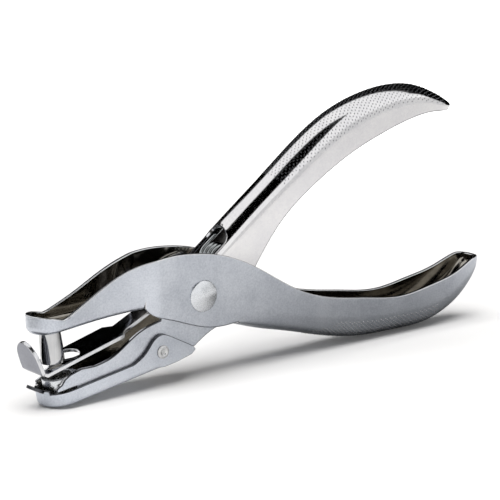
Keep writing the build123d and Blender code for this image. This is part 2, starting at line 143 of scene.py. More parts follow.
def add_node(tree: bpy.types.NodeTree, kind: str, settings: Mapping[Any, Any] | None = None,
             links: Mapping[Any, Any] | None = None) -> bpy.types.Node:
    """Adds a node with its settings and links.

    Args:
        tree: the node tree that gets the node.
        kind: the node's type name.
        settings: values of its properties, in small letters, and of its inputs.
        links: the output that feeds each named input.

    Returns:
        The new node.
    """
    node = tree.nodes.new(kind)
    for key, value in (settings or {}).items():
        if isinstance(key, str) and key.islower():
            setattr(node, key, value)
        else:
            node.inputs[key].default_value = value
    for key, output in (links or {}).items():
        tree.links.new(output, node.inputs[key])
    return node


@dataclass(frozen=True)
class MetalFinish:
    """A plated or bare metal surface: soft patches of tone, and a fine grain in gloss and relief."""

    name: str
    light: str
    dull: str
    rough: float
    rough_swing: float
    grain_mm: float
    relief_mm: float
    patch_mm: float
    grain: Grain = Grain.BLASTED

    @lru_cache(maxsize=None)
    def material(self) -> bpy.types.Material:
        """Makes the finish's material once.

        Returns:
            The material with its nodes.
        """
        made = bpy.data.materials.new(self.name)
        made.use_nodes = True
        tree = made.node_tree
        shader = tree.nodes["Principled BSDF"]
        shader.inputs["Metallic"].default_value = 1.0
        spot = add_node(tree, "ShaderNodeTexCoord").outputs["Object"]
        drawn = add_node(tree, "ShaderNodeMapping", {"Scale": self.grain.value}, {"Vector": spot})
        fine = add_node(tree, "ShaderNodeTexNoise", {"Scale": 1 / (self.grain_mm * MM), **FINE_NOISE},
                        {"Vector": drawn.outputs["Vector"]})
        patch = add_node(tree, "ShaderNodeTexNoise", {"Scale": 1 / (self.patch_mm * MM), **PATCH_NOISE},
                         {"Vector": spot})
        both = add_node(tree, "ShaderNodeMath", {"operation": "ADD"},
                        {0: patch.outputs["Fac"], 1: fine.outputs["Fac"]})
        tone = add_node(tree, "ShaderNodeMapRange", TONE_RANGE, {"Value": both.outputs["Value"]})
        colours = {MIX_FIRST: hex_linear(self.dull), MIX_SECOND: hex_linear(self.light)}
        mix = add_node(tree, "ShaderNodeMix", {"data_type": "RGBA", **colours}, {0: tone.outputs["Result"]})
        gloss = add_node(tree, "ShaderNodeMapRange",
                         {**GLOSS_RANGE, "To Min": self.rough - self.rough_swing,
                          "To Max": self.rough + self.rough_swing}, {"Value": fine.outputs["Fac"]})
        bump = add_node(tree, "ShaderNodeBump", {"Strength": 1.0, "Distance": self.relief_mm * MM},
                        {"Height": fine.outputs["Fac"]})
        tree.links.new(mix.outputs[MIX_RESULT], shader.inputs["Base Color"])
        tree.links.new(gloss.outputs["Result"], shader.inputs["Roughness"])
        tree.links.new(bump.outputs["Normal"], shader.inputs["Normal"])
        return made


# The real grain of these finishes is a tenth of a millimetre or less and would not show: it is drawn coarser.

# Nickel plate over blasted sheet: an even, soft light grey in which every reflection is blurred.
SATIN_PLATE = MetalFinish("satin_nickel_plate", "#DCE0E7", "#BDC2CB", 0.33, 0.05, 0.45, 0.012, 9.0)
# The same plate over buffed sheet: reflections stay sharp and only the tone wanders a little.
BRIGHT_PLATE = MetalFinish("bright_nickel_plate", "#EFEEEE", "#DEDDE0", 0.11, 0.03, 0.6, 0.0012, 12.0)
# The grip points of the upper handle are painted darker than the plate: painted shade of the valleys between
# them, so each reads as a dark speck.
KNURL_PAINTED_SHADE = MetalFinish("knurl_points_painted_shade", "#8E8F93", "#747579", 0.16, 0.03, 0.5, 0.001, 8.0)
# The inside of the pressed sheet is plated but never buffed: thinner, warmer and darker.
INSIDE_PLATE = MetalFinish("unbuffed_nickel_inside", "#A9A59D", "#8D8982", 0.11, 0.01, 1.5, 0.0008, 6.0)
# The inside of the upper handle's channel is painted near black: painted shade of the deep, narrow channel.
CHANNEL_PAINTED_SHADE = MetalFinish("channel_inside_painted_shade", "#4F4E4D", "#3D3C3B", 0.14, 0.02, 1.5, 0.0008, 6.0)
# The sheared edge of the sheet is burnished by the die and shines as a thin line.
SHEARED_EDGE = MetalFinish("burnished_sheet_edge", "#ECEDEF", "#D6D7DA", 0.16, 0.03, 0.5, 0.002, 4.0)
# Cut edges left bare and dull, and painted darker still: painted shade, so each draws the dark line of the
# gap along the plate behind it.
BARE_EDGE_AND_GAP_SHADE = MetalFinish("bare_edge_and_painted_gap_shade", "#606165", "#4B4C50", 0.30, 0.04, 0.5, 0.002, 4.0)
# Ground and polished steel of pin and tray rivets: fine lines along the grinding, clear stripes of light.
GROUND_STEEL = MetalFinish("ground_tool_steel", "#D6D6D6", "#BEBFC1", 0.12, 0.03, 0.4, 0.001, 5.0,
                           Grain.ALONG_Z)
# Rolled spring strip with faint rolling lines along its length, its tone set darker than the bright strip:
# painted shade, so it reads as a dark mirror.
ROLLED_STRIP_AND_SHADE = MetalFinish("rolled_strip_with_painted_shade", "#9698A0", "#7E8088", 0.14, 0.04, 0.4, 0.001, 7.0,
                           Grain.ALONG_X)
# Drawn spring wire, bright with a soft sheen.
DRAWN_WIRE = MetalFinish("drawn_spring_wire", "#C9CDCE", "#A9ADAE", 0.13, 0.04, 0.3, 0.002, 3.0)
# Cold-headed steel of rivet, sleeve and die, plated with the levers: pale, with soft highlights.
HEADED_STEEL = MetalFinish("cold_headed_plated_steel", "#E9EBEE", "#DBDEE2", 0.27, 0.02, 0.6, 0.0015, 4.0)


class Track:
    """A smooth curve through points, read by its run along the chords between them."""

    def __init__(self, points: Sequence[Sequence[float]], start: Pair | None = None,
                 end: Pair | None = None) -> None:
        """Fits a cubic spline, with free ends or with the headings given for them.

        Args:
            points: the points that the curve passes through.
            start: heading at the first point, per unit of run.
            end: heading at the last point, per unit of run.
        """
        self.points = np.array(points, float)
        gaps = np.linalg.norm(np.diff(self.points, axis=0), axis=1)
        self.runs = np.concatenate(([0.0], np.cumsum(gaps)))
        slopes = np.diff(self.points, axis=0) / gaps[:, None]
        system = np.eye(len(self.runs))
        pulls = np.zeros_like(self.points)
        for i in range(1, len(gaps)):
            system[i, i - 1:i + 2] = gaps[i - 1], 2 * (gaps[i - 1] + gaps[i]), gaps[i]
            pulls[i] = 6 * (slopes[i] - slopes[i - 1])
        if start is not None:
            system[0, :2] = 2 * gaps[0], gaps[0]
            pulls[0] = 6 * (slopes[0] - np.array(start))
        if end is not None:
            system[-1, -2:] = gaps[-1], 2 * gaps[-1]
            pulls[-1] = 6 * (np.array(end) - slopes[-1])
        self.bends = np.linalg.solve(system, pulls)
        self.dense: tuple[list[float], ...] = ()

    @property
    def length(self) -> float:
        """The run at the last point."""
        return float(self.runs[-1])

    def at(self, run: float) -> np.ndarray:
        """Reads the curve.

        Args:
            run: distance along the chords from the first point.

        Returns:
            The point of the curve at that run.
        """
        i = int(np.clip(np.searchsorted(self.runs, run) - 1, 0, len(self.runs) - 2))
        gap = self.runs[i + 1] - self.runs[i]
        a = (self.runs[i + 1] - run) / gap
        b = 1 - a
        bend = (a ** 3 - a) * self.bends[i] + (b ** 3 - b) * self.bends[i + 1]
        return a * self.points[i] + b * self.points[i + 1] + bend * gap * gap / 6

    def sample(self, count: int) -> list[tuple[float, ...]]:
        """Points at even runs from end to end."""
        return [tuple(self.at(run)) for run in np.linspace(0, self.length, count)]

    def second_at(self, first: float, count: int = 400) -> float:
        """Reads the second coordinate from the first, on a curve that does not turn back in it.

        Args:
            first: value of the first coordinate.
            count: points that the curve is sampled at.

        Returns:
            The second coordinate there.
        """
        if not self.dense:
            spots = sorted(self.sample(count))
            self.dense = [spot[0] for spot in spots], [spot[1] for spot in spots]
        return float(np.interp(first, *self.dense))


def pressed_half(columns: Sequence[Sequence[Vector]],
                 keep: Callable[[int, int], bool] = lambda column, row: True) -> bmesh.types.BMesh:
    """Lays a grid on the outer face of the near half of a pressed sheet.

    Args:
        columns: the outline of each cross-section, all with the same count of points.
        keep: says for each grid cell whether the sheet has it.

    Returns:
        The near half as a new bmesh.
    """
    bm = bmesh.new()
    wide, tall = len(columns) - 1, len(columns[0]) - 1
    bmesh.ops.create_grid(bm, x_segments=wide, y_segments=tall, size=0.5)
    spots = {vert: (round((vert.co.x + 0.5) * wide), round((vert.co.y + 0.5) * tall)) for vert in bm.verts}
    gone = []
    for face in bm.faces:
        column = min(spots[vert][0] for vert in face.verts)
        row = min(spots[vert][1] for vert in face.verts)
        if not keep(column, row):
            gone.append(face)
    for vert, (column, row) in spots.items():
        vert.co = columns[column][row]
    bmesh.ops.delete(bm, geom=gone, context="FACES")
    return bm


def round_off(column: Sequence[Vector], bulge: float = 0.24, steps: int = 6) -> list[list[Vector]]:
    """Closes the end of a handle with a round in plan.

    Args:
        column: the near half of the last cross-section.
        bulge: how far the round stands out, as a share of the half width.
        steps: columns of the round.

    Returns:
        The columns after the last cross-section, the final one on the middle plane.
    """
    columns = []
    for step in range(1, steps + 1):
        turn = pi / 2 * step / steps
        columns.append([Vector((spot.x + abs(spot.y) * bulge * sin(turn), spot.y * cos(turn), spot.z))
                        for spot in column])
    return columns


def join_halves(bm: bmesh.types.BMesh, outward: Vector) -> None:
    """Mirrors the near half across the middle plane and turns the faces outwards.

    Args:
        bm: the near half, changed in place.
        outward: direction in which the outermost face must look.
    """
    geom = bm.verts[:] + bm.edges[:] + bm.faces[:]
    bmesh.ops.mirror(bm, geom=geom, matrix=Matrix.Identity(4), merge_dist=SHEET_MERGE * MM, axis="Y")
    bmesh.ops.remove_doubles(bm, verts=bm.verts, dist=SHEET_MERGE * MM)
    bmesh.ops.dissolve_degenerate(bm, edges=bm.edges, dist=SMALL_MERGE * MM)
    bmesh.ops.recalc_face_normals(bm, faces=bm.faces)
    bm.normal_update()
    outermost = max(bm.faces, key=lambda face: face.calc_center_median().dot(outward))
    if outermost.normal.dot(outward) < 0:
        bmesh.ops.reverse_faces(bm, faces=bm.faces)


def lathe(profile: Sequence[Pair], foot: Vector, axis: Vector, steps: int) -> bmesh.types.BMesh:
    """Turns a profile round an axis.

    Args:
        profile: radius and height of each profile point in millimetres, from one end to the other.
        foot: the point of the axis at height 0.
        axis: unit direction of the axis.
        steps: facets of a full turn.

    Returns:
        The turned shape as a new bmesh.
    """
    bm = bmesh.new()
    side = axis.orthogonal().normalized()
    verts = [bm.verts.new(foot + (side * radius + axis * height) * MM) for radius, height in profile]
    edges = [bm.edges.new(pair) for pair in zip(verts, verts[1:])]
    bmesh.ops.spin(bm, geom=verts + edges, cent=foot, axis=axis, angle=2 * pi, steps=steps, use_merge=True)
    bmesh.ops.remove_doubles(bm, verts=bm.verts, dist=SMALL_MERGE * MM)
    bmesh.ops.recalc_face_normals(bm, faces=bm.faces)
    return bm


def link_mesh(name: str, bm: bmesh.types.BMesh) -> bpy.types.Object:
    """Makes an object of a mesh and puts it in the scene.

    Args:
        name: the object's name.
        bm: its mesh, freed here.

    Returns:
        The new object, at the origin.
    """
    mesh = bpy.data.meshes.new(name)
    bm.to_mesh(mesh)
    bm.free()
    made = bpy.data.objects.new(name, mesh)
    bpy.context.scene.collection.objects.link(made)
    return made


def add_piece(name: str, bm: bmesh.types.BMesh, finishes: Sequence[MetalFinish]) -> bpy.types.Object:
    """Makes an object of a mesh and dresses it.

    Args:
        name: the piece's name.
        bm: its mesh, freed here.
        finishes: outer face, then inner face, cut edge and rounded edge where the piece is a sheet.

    Returns:
        The new object, at the origin.
    """
    piece = link_mesh(name, bm)
    for finish in finishes:
        piece.data.materials.append(finish.material())
    piece.data.shade_smooth()
    LOG.info("%s: %d faces", name, len(piece.data.polygons))
    return piece


def thicken(piece: bpy.types.Object, sheet: float, edge: float, offset: float = -1.0,
            edge_finish: int = 2) -> None:
    """Gives a sheet its thickness and rounds its edges.

    Args:
        piece: the sheet's outer face.
        sheet: thickness in millimetres.
        edge: radius of the rounded edges in millimetres.
        offset: -1 puts the thickness inside the face, 0 on both sides.
        edge_finish: place of the rounded edges' finish among the piece's own.
    """
    wall = piece.modifiers.new("sheet", "SOLIDIFY")
    wall.thickness = sheet * MM
    wall.offset = offset
    wall.use_even_offset = True
    wall.use_quality_normals = True
    wall.material_offset = 1
    wall.material_offset_rim = 2
    mark_rim(piece.data)
    soft = round_edges(piece, edge)
    soft.limit_method = "WEIGHT"
    soft.material = edge_finish


def mark_rim(mesh: bpy.types.Mesh) -> None:
    """Marks a sheet's free edges for rounding.

    Args:
        mesh: the sheet's outer face, changed in place.
    """
    bm = bmesh.new()
    bm.from_mesh(mesh)
    weight = bm.edges.layers.float.new("bevel_weight_edge")
    for edge in bm.edges:
        edge[weight] = float(edge.is_boundary)
    bm.to_mesh(mesh)
    bm.free()


def round_edges(piece: bpy.types.Object, edge: float) -> bpy.types.BevelModifier:
    """Rounds a piece's sharp edges.

    Args:
        piece: the piece that gets the modifier.
        edge: radius of the rounded edges in millimetres.

    Returns:
        The Bevel modifier.
    """
    soft = piece.modifiers.new("edges", "BEVEL")
    soft.width = edge * MM
    soft.segments = EDGE_ROWS
    soft.use_clamp_overlap = False
    soft.limit_method = "ANGLE"
    soft.angle_limit = radians(SHARP_ANGLE)
    soft.harden_normals = True
    return soft


def dress_node(name: str, finish: MetalFinish, edge: float = 0.15) -> None:
    """Gives a CAD solid its finish and rounds its sharp edges.

    Args:
        name: the CAD node's name.
        finish: its finish.
        edge: radius of the rounded edges in millimetres.
    """
    node = frame["nodes"][name]
    node.data.materials.clear()
    node.data.materials.append(finish.material())
    weld = node.modifiers.new("weld", "WELD")
    weld.merge_threshold = CAD_MERGE * MM
    round_edges(node, edge)
    LOG.info("%s: CAD solid dressed", name)


@dataclass(frozen=True)
class Station:
    """One cross-section of a handle: a straight wall up from the rim and a rounded crown."""

    rim: Pair
    crown: Pair
    half: float
    arch: float


@dataclass(frozen=True)
class GripPatch:
    """Stretch of a handle's crown that carries grip points, narrower at its front end."""

    first_x: float
    last_x: float
    smooth: float
    narrowing: float
    taper: float

    def margin(self, share: float) -> float:
        """Share of the quarter round left smooth above the wall, at a share of the patch's length."""
        return self.smooth + self.narrowing * max(0.0, self.taper - share) / self.taper


class Grip:
    """A channel-shaped handle run smoothly through its stations."""

    # Points at which the run and the round are sampled, and the steps over which a normal is taken.
    RUN_SAMPLES = 600
    RING_SAMPLES = 61
    RUN_STEP = 0.1
    CLIMB_STEP = 0.01

    def __init__(self, stations: Sequence[Station]) -> None:
        """Lays the run through the stations."""
        self.track = Track([(*s.rim, *s.crown, s.half, s.arch) for s in stations])

    def spot(self, run: float, climb: float) -> Vector:
        """A point of the outer face.

        Args:
            run: distance along the handle.
            climb: 0 at the rim, 1 where the wall starts to round, 2 on the crown, and on to the far side.

        Returns:
            The point in millimetres from the pivot.
        """
        rim_x, rim_z, crown_x, crown_z, half, arch = self.track.at(run)
        span = hypot(crown_x - rim_x, crown_z - rim_z)
        turn = max(climb - 1, 0) * pi / 2
        reach = (span - arch) * min(climb, 1) + arch * sin(turn)
        share = reach / span
        x, z = rim_x + (crown_x - rim_x) * share, rim_z + (crown_z - rim_z) * share
        return Vector((x, -half * cos(turn), z))

    def normal(self, run: float, climb: float) -> Vector:
        """The outward direction of the outer face.

        Args:
            run: distance along the handle.
            climb: place round the section, as for a spot.

        Returns:
            The unit direction.
        """
        ahead = self.spot(run + self.RUN_STEP, climb) - self.spot(run - self.RUN_STEP, climb)
        across = self.spot(run, climb + self.CLIMB_STEP) - self.spot(run, climb - self.CLIMB_STEP)
        normal = across.cross(ahead).normalized()
        rim_x, rim_z = self.track.at(run)[:2]
        if normal.dot(self.spot(run, climb) - Vector((rim_x, 0.0, rim_z))) < 0:
            normal.negate()
        return normal

    def run_at_crown(self, crown_x: float) -> float:
        """The run where the crown line passes an x."""
        runs = np.linspace(0, self.track.length, self.RUN_SAMPLES)
        return float(np.interp(crown_x, [self.track.at(run)[2] for run in runs], runs))

    def knurl(self, patch: GripPatch) -> bmesh.types.BMesh:
        """Raises grip points in staggered rows over the crown, each a low pyramid on the surface.

        Args:
            patch: the stretch that the points cover.

        Returns:
            The points as a new bmesh.
        """
        start, stop = self.run_at_crown(patch.first_x), self.run_at_crown(patch.last_x)
        climbs = np.linspace(1, 3, self.RING_SAMPLES)
        count = int((stop - start) / KNURL_CELL)
        reach = int(KNURL_REACH / KNURL_CELL)
        columns, peaks = [], set()
        for step in range(count + 1):
            run = start + (stop - start) * step / count
            line = [self.spot(run, climb) for climb in climbs]
            lengths = np.concatenate(([0.0], np.cumsum([(b - a).length for a, b in zip(line, line[1:])])))
            middle = lengths[-1] / 2
            limit = middle - float(np.interp(1 + patch.margin(step / count), climbs, lengths))
            stagger = KNURL_EVERY // 2 if step // KNURL_EVERY % 2 else 0
            column = []
            for row in range(-reach, reach + 1):
                offset = row * KNURL_CELL
                climb = float(np.interp(middle + offset, lengths, climbs))
                on_grid = step % KNURL_EVERY == 0 and (row + stagger) % KNURL_EVERY == 0
                peak = on_grid and abs(offset) < limit and 0 < step < count
                if peak:
                    peaks.add((step, row + reach))
                rise = KNURL_RISE if peak else -KNURL_SINK
                column.append(place(*(self.spot(run, climb) + self.normal(run, climb) * rise)))
            columns.append(column)

        def keep(column: int, row: int) -> bool:
            """Only the cells round a point stand out of the sheet."""
            return any((column + i, row + j) in peaks for i in (0, 1) for j in (0, 1))

        bm = pressed_half(columns, keep)
        bmesh.ops.recalc_face_normals(bm, faces=bm.faces)
        return bm


@dataclass
class PunchLever:
    """Upper jaw, pivot cheeks and lower handle, pressed from one sheet."""

    sheet: float = 1.1
    bend: float = 2.0
    half: float = 7.0
    edge: float = 0.24
    nose_x: float = -44.8
    nose_r: float = 5.8
    hump_x: float = -13.5
    waist: tuple[Pair, ...] = ((-35.0, 4.95), (-27.0, 4.85), (-21.5, 5.35), (-17.0, 6.3))
    web_below_nose: float = -3.15
    web_tilt: float = 4.2
    web_end: float = -22.5
    notch_x: float = -18.2
    join_x: float = 12.0
    band_least: float = 0.2
    band_growth: float = 1.5
    nose_rim: tuple[Pair, ...] = ((-60.0, 2.2), (-49.5, 1.65), (-46.5, 1.15), (-43.3, 0.45), (-41.8, 0.85),
                                  (-40.0, 1.7))
    cheek_rim: tuple[Pair, ...] = ((-40.0, 1.7), (-34.7, 4.3), (-28.2, 7.7), (-22.0, 10.3), (-15.0, 11.9),
                                   (-9.0, 12.45), (-2.0, 12.05), (5.8, 10.6), (12.0, 8.4), (22.0, 3.0))
    cheek_edge: tuple[Pair, ...] = ((-18.2, -0.9), (-17.4, -1.9), (-11.1, -4.9), (-4.6, -7.3), (3.5, -9.4),
                                    (12.0, -9.2))
    stations: tuple[Station, ...] = (
        Station((5.8, 10.6), (5.8, -8.5), 7.0, 1.2), Station((12.0, 8.4), (12.0, -10.6), 7.0, 1.6),
        Station((22.0, 3.0), (22.0, -13.9), 7.0, 4.4), Station((32.0, -3.0), (32.0, -16.5), 6.9, 5.4),
        Station((44.0, -7.5), (44.0, -19.8), 6.7, 6.2), Station((58.0, -10.0), (58.0, -22.5), 6.5, 6.5),
        Station((72.0, -11.7), (72.0, -22.98), 6.4, 6.4), Station((84.0, -10.2), (84.0, -22.5), 6.3, 6.3),
        Station((94.0, -8.1), (94.5, -18.9), 5.8, 5.9), Station((100.4, -5.6), (100.8, -13.9), 5.0, 4.8),
        Station((103.6, -4.8), (103.9, -9.8), 3.9, 3.1), Station((105.1, -5.1), (105.2, -7.2), 2.2, 1.3))
    patch: GripPatch = GripPatch(38.0, 86.0, 0.08, 0.5, 0.25)
    wall_rows: int = 8
    bend_rows: int = 6
    web_rows: int = 5
    nose_columns: int = 17
    nose_step: float = 0.8
    jaw_columns: int = 30
    column_gap: float = 0.45
    flare_columns: int = 8
    cheek_columns: int = 30
    handle_columns: int = 90

    def __post_init__(self) -> None:
        """Fits the curves of rim, lower edge and handle."""
        self.rim_line = Track(self.cheek_rim)
        self.edge_line = Track(self.cheek_edge)
        self.grip = Grip(self.stations)

    def web_z(self, x: float) -> float:
        """Height of the web's underside."""
        return self.web_below_nose + (x - self.nose_x) * tan(radians(self.web_tilt))

    def rim_z(self, x: float) -> float:
        """Height of the sheet's upper edge along jaw and cheeks.

        Args:
            x: place along the lever.

        Returns:
            The height off the pivot.
        """
        if x < self.cheek_rim[0][0]:
            return float(np.interp(x, *zip(*self.nose_rim)))
        return self.rim_line.second_at(x)

    def jaw_section(self, x: float, y: float, inward: Pair, centre_x: float) -> list[Vector]:
        """Outline of the jaw trough from its rim down the wall, round the bend and across the web.

        Args:
            x: place of the wall along the jaw.
            y: place of the wall across the jaw.
            inward: unit direction from the wall to the inside, in plan.
            centre_x: where the web's row ends on the middle plane.

        Returns:
            The outline's points.
        """
        low = self.web_z(x)
        points = [place(x, y, z) for z in np.linspace(self.rim_z(x), low + self.bend, self.wall_rows + 1)]
        for step in range(1, self.bend_rows + 1):
            turn = pi / 2 * step / self.bend_rows
            inset = self.bend * (1 - cos(turn))
            points.append(place(x + inward[0] * inset, y + inward[1] * inset,
                                low + self.bend * (1 - sin(turn))))
        edge_x, edge_y = x + inward[0] * self.bend, y + inward[1] * self.bend
        for step in range(1, self.web_rows + 1):
            share = step / self.web_rows
            web_x = edge_x + (centre_x - edge_x) * share
            points.append(place(web_x, edge_y * (1 - share), self.web_z(web_x)))
        return points

    def cheek_section(self, x: float) -> list[Vector]:
        """Outline of the flat cheek, its lower rows kept for the edge of the bend.

        Args:
            x: place along the lever.

        Returns:
            The outline's points from the rim down.
        """
        top, low = self.rim_z(x), self.edge_line.second_at(x)
        band = self.band_growth * (self.join_x - x) / (self.join_x - self.notch_x) + self.band_least
        points = [place(x, -self.half, z) for z in np.linspace(top, low + band, self.wall_rows + 1)]
        spare = self.bend_rows + self.web_rows
        points += [place(x, -self.half, low + band * (1 - step / spare)) for step in range(1, spare + 1)]
        return points

    def handle_section(self, run: float) -> list[Vector]:
        """Outline of the lower handle.

        Args:
            run: distance along the handle.

        Returns:
            The outline's points from the rim to the crown.
        """
        spare = self.bend_rows + self.web_rows
        climbs = [step / self.wall_rows for step in range(self.wall_rows + 1)]
        climbs += [1 + step / spare for step in range(1, spare + 1)]
        return [place(*self.grip.spot(run, climb)) for climb in climbs]

    def build(self) -> None:
        """Presses the sheet and knurls the handle."""
        straight = (1.0, 0.0)
        waist = [(self.nose_x, self.nose_r), *self.waist, (self.hump_x, self.half)]
        plan = Track(waist, straight, straight)
        columns = []
        for turn in np.linspace(pi, 1.5 * pi, self.nose_columns):
            x, y = self.nose_x + self.nose_r * cos(turn), self.nose_r * sin(turn)
            columns.append(self.jaw_section(x, y, (-cos(turn), -sin(turn)), self.nose_x))
        kinks = {x for x, _ in self.nose_rim if x > self.nose_x} | {self.web_end, self.notch_x}
        spread = np.linspace(self.nose_x + self.nose_step, self.notch_x, self.jaw_columns)
        apart = {x for x in spread if min(abs(x - kink) for kink in kinks) > self.column_gap}
        jaw_xs = sorted(kinks | apart)
        columns += [self.jaw_section(x, -plan.second_at(x), (0.0, 1.0), x) for x in jaw_xs]
        web_last = self.nose_columns + jaw_xs.index(self.web_end)
        notch = len(columns) - 1
        for x in np.linspace(self.notch_x, self.hump_x, self.flare_columns):
            shift = Vector((0, self.half - plan.second_at(x), 0)) * MM
            columns.append([point + shift for point in self.cheek_section(x)])
        flat_xs = np.linspace(self.hump_x, self.join_x, self.cheek_columns)[1:]
        columns += [self.cheek_section(x) for x in flat_xs]
        join = len(columns) - 1
        track = self.grip.track
        runs = np.linspace(track.runs[1], track.length - END_ROUND, self.handle_columns)
        columns += [self.handle_section(run) for run in runs]
        columns += round_off(columns[-1])

        def keep(column: int, row: int) -> bool:
            """The web stops behind the jaw, and the bend is cut at the notch and at the handle.

            Args:
                column: place of the grid cell along the lever.
                row: its place from the rim down.

            Returns:
                Whether the sheet has the cell.
            """
            if row < self.wall_rows:
                return True
            if column in (notch, join):
                return False
            on_web = row >= self.wall_rows + self.bend_rows
            return not on_web or column < web_last or column > notch

        bm = pressed_half(columns, keep)
        join_halves(bm, Vector((0, -1, 0)))
        finishes = (SATIN_PLATE, INSIDE_PLATE, BARE_EDGE_AND_GAP_SHADE, SHEARED_EDGE)
        lever = add_piece("punch_lever_sheet", bm, finishes)
        thicken(lever, self.sheet, self.edge, edge_finish=finishes.index(SHEARED_EDGE))
        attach(lever, Body.PUNCH.value)
        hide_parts("punch_lever")
        knurl = add_piece("lower_grip_knurl", self.grip.knurl(self.patch), (BRIGHT_PLATE,))
        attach(knurl, Body.PUNCH.value)


@dataclass
class DieLever:
    """Upper handle with its spring slot, pivot cheeks and lower jaw walls."""

    sheet: float = 1.1
    half: float = 5.7
    edge: float = 0.28
    slot_half: float = 4.7
    slot_end: Pair = (8.1, 13.0)
    slot_slope: float = 36.5
    cheek_front: tuple[Pair, ...] = ((2.0, 10.1), (-4.5, 8.6), (-9.5, 4.0), (-12.6, -2.0))
    jaw_top: tuple[Pair, ...] = ((-13.3, -4.9), (-19.4, -6.6), (-23.5, -8.9), (-29.2, -12.3), (-34.3, -13.6))
    jaw_nose: tuple[Pair, ...] = ((-38.6, -13.6), (-42.0, -14.6), (-43.7, -15.6), (-44.7, -16.9),
                                  (-46.3, -17.8), (-46.3, -18.9), (-40.4, -18.05), (-40.4, -19.45),
                                  (-12.0, -15.2))
    jaw_rear: tuple[Pair, ...] = ((-2.3, -13.9), (4.0, -10.3), (9.6, -8.0), (14.0, -2.0))
    stations: tuple[Station, ...] = (
        Station((14.0, -2.0), (2.0, 10.1), 5.7, 4.0), Station((21.0, 8.0), (12.0, 17.7), 5.7, 4.2),
        Station((27.5, 15.9), (20.0, 23.7), 5.7, 4.5), Station((35.0, 22.3), (28.9, 30.3), 5.9, 4.9),
        Station((45.5, 29.0), (39.5, 38.2), 6.2, 5.4), Station((54.5, 33.5), (49.8, 44.4), 6.3, 5.8),
        Station((64.5, 37.2), (61.8, 48.55), 6.3, 5.8), Station((73.5, 39.8), (72.5, 49.98), 6.2, 5.4),
        Station((80.8, 41.1), (81.2, 49.1), 5.9, 4.6), Station((86.6, 41.2), (88.1, 46.4), 5.2, 3.4),
        Station((91.0, 40.9), (92.6, 43.9), 4.1, 2.0), Station((93.4, 40.9), (94.5, 42.5), 2.7, 1.0))
    patch: GripPatch = GripPatch(27.0, 91.0, 0.05, 0.2, 0.3)
    wall_rows: int = 8
    arch_rows: int = 12
    run_samples: int = 900
    root_columns: int = 10
    slot_columns: int = 12
    handle_columns: int = 96
    front_points: int = 16
    top_points: int = 16
    rear_points: int = 14

    def __post_init__(self) -> None:
        """Fits the handle's run."""
        self.grip = Grip(self.stations)

    def past_slot(self, run: float) -> float:
        """How far the crown has passed the centre of the slot's round end.

        Args:
            run: distance along the handle.

        Returns:
            The distance along the slot, below 0 before the centre.
        """
        crown = self.grip.track.at(run)[2:4]
        slope = radians(self.slot_slope)
        return (crown[0] - self.slot_end[0]) * cos(slope) + (crown[1] - self.slot_end[1]) * sin(slope)

    def handle_section(self, run: float) -> list[Vector]:
        """Outline of the upper handle.

        Args:
            run: distance along the handle.

        Returns:
            The outline's points from the rim to the crown, or to the slot's edge.
        """
        past = self.past_slot(run)
        gap = self.slot_half if past < 0 else sqrt(max(self.slot_half ** 2 - past ** 2, 0.0))
        half = self.grip.track.at(run)[4]
        top = 1 + acos(min(gap / half, 1.0)) / (pi / 2)
        climbs = [step / self.wall_rows for step in range(self.wall_rows + 1)]
        climbs += [1 + (top - 1) * step / self.arch_rows for step in range(1, self.arch_rows + 1)]
        return [place(*self.grip.spot(run, climb)) for climb in climbs]

    def build(self) -> None:
        """Presses the sheet and knurls the handle."""
        # Outer face, inner face and cut edge of the handle, the same of the jaw, and the rounded edges.
        finishes = (BRIGHT_PLATE, CHANNEL_PAINTED_SHADE, SHEARED_EDGE, SATIN_PLATE, INSIDE_PLATE, SHEARED_EDGE,
                    BARE_EDGE_AND_GAP_SHADE)
        length = self.grip.track.length
        runs = np.linspace(0, length, self.run_samples)
        pasts = [self.past_slot(run) for run in runs]
        slot_pasts = [self.slot_half * sin(turn) for turn in np.linspace(0, pi / 2, self.slot_columns)]
        slot_runs = [float(np.interp(past, pasts, runs)) for past in slot_pasts]
        marks = [*np.linspace(0, slot_runs[0], self.root_columns)[:-1], *slot_runs]
        marks += list(np.linspace(slot_runs[-1], length - END_ROUND, self.handle_columns)[1:])
        columns = [self.handle_section(run) for run in marks]
        columns += round_off(columns[-1])
        bm = pressed_half(columns)
        wall = columns[0][:self.wall_rows + 1]
        outline = Track(self.cheek_front).sample(self.front_points)
        outline += Track(self.jaw_top).sample(self.top_points) + list(self.jaw_nose)
        outline += Track(self.jaw_rear).sample(self.rear_points)[:-1]
        spots = wall + [place(x, -self.half, z) for x, z in outline]
        verts = [bm.verts.new(spot) for spot in spots]
        edges = [bm.edges.new(pair) for pair in zip(verts, verts[1:] + verts[:1])]
        for face in bmesh.ops.contextual_create(bm, geom=edges)["faces"]:
            face.material_index = finishes.index(SATIN_PLATE)
        join_halves(bm, Vector((0, -1, 0)))
        lever = add_piece("die_lever_sheet", bm, finishes)
        thicken(lever, self.sheet, self.edge, edge_finish=finishes.index(BARE_EDGE_AND_GAP_SHADE))
        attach(lever, Body.DIE.value)
        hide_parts("die_lever")
        knurl = add_piece("upper_grip_knurl", self.grip.knurl(self.patch), (KNURL_PAINTED_SHADE,))
        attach(knurl, Body.DIE.value)


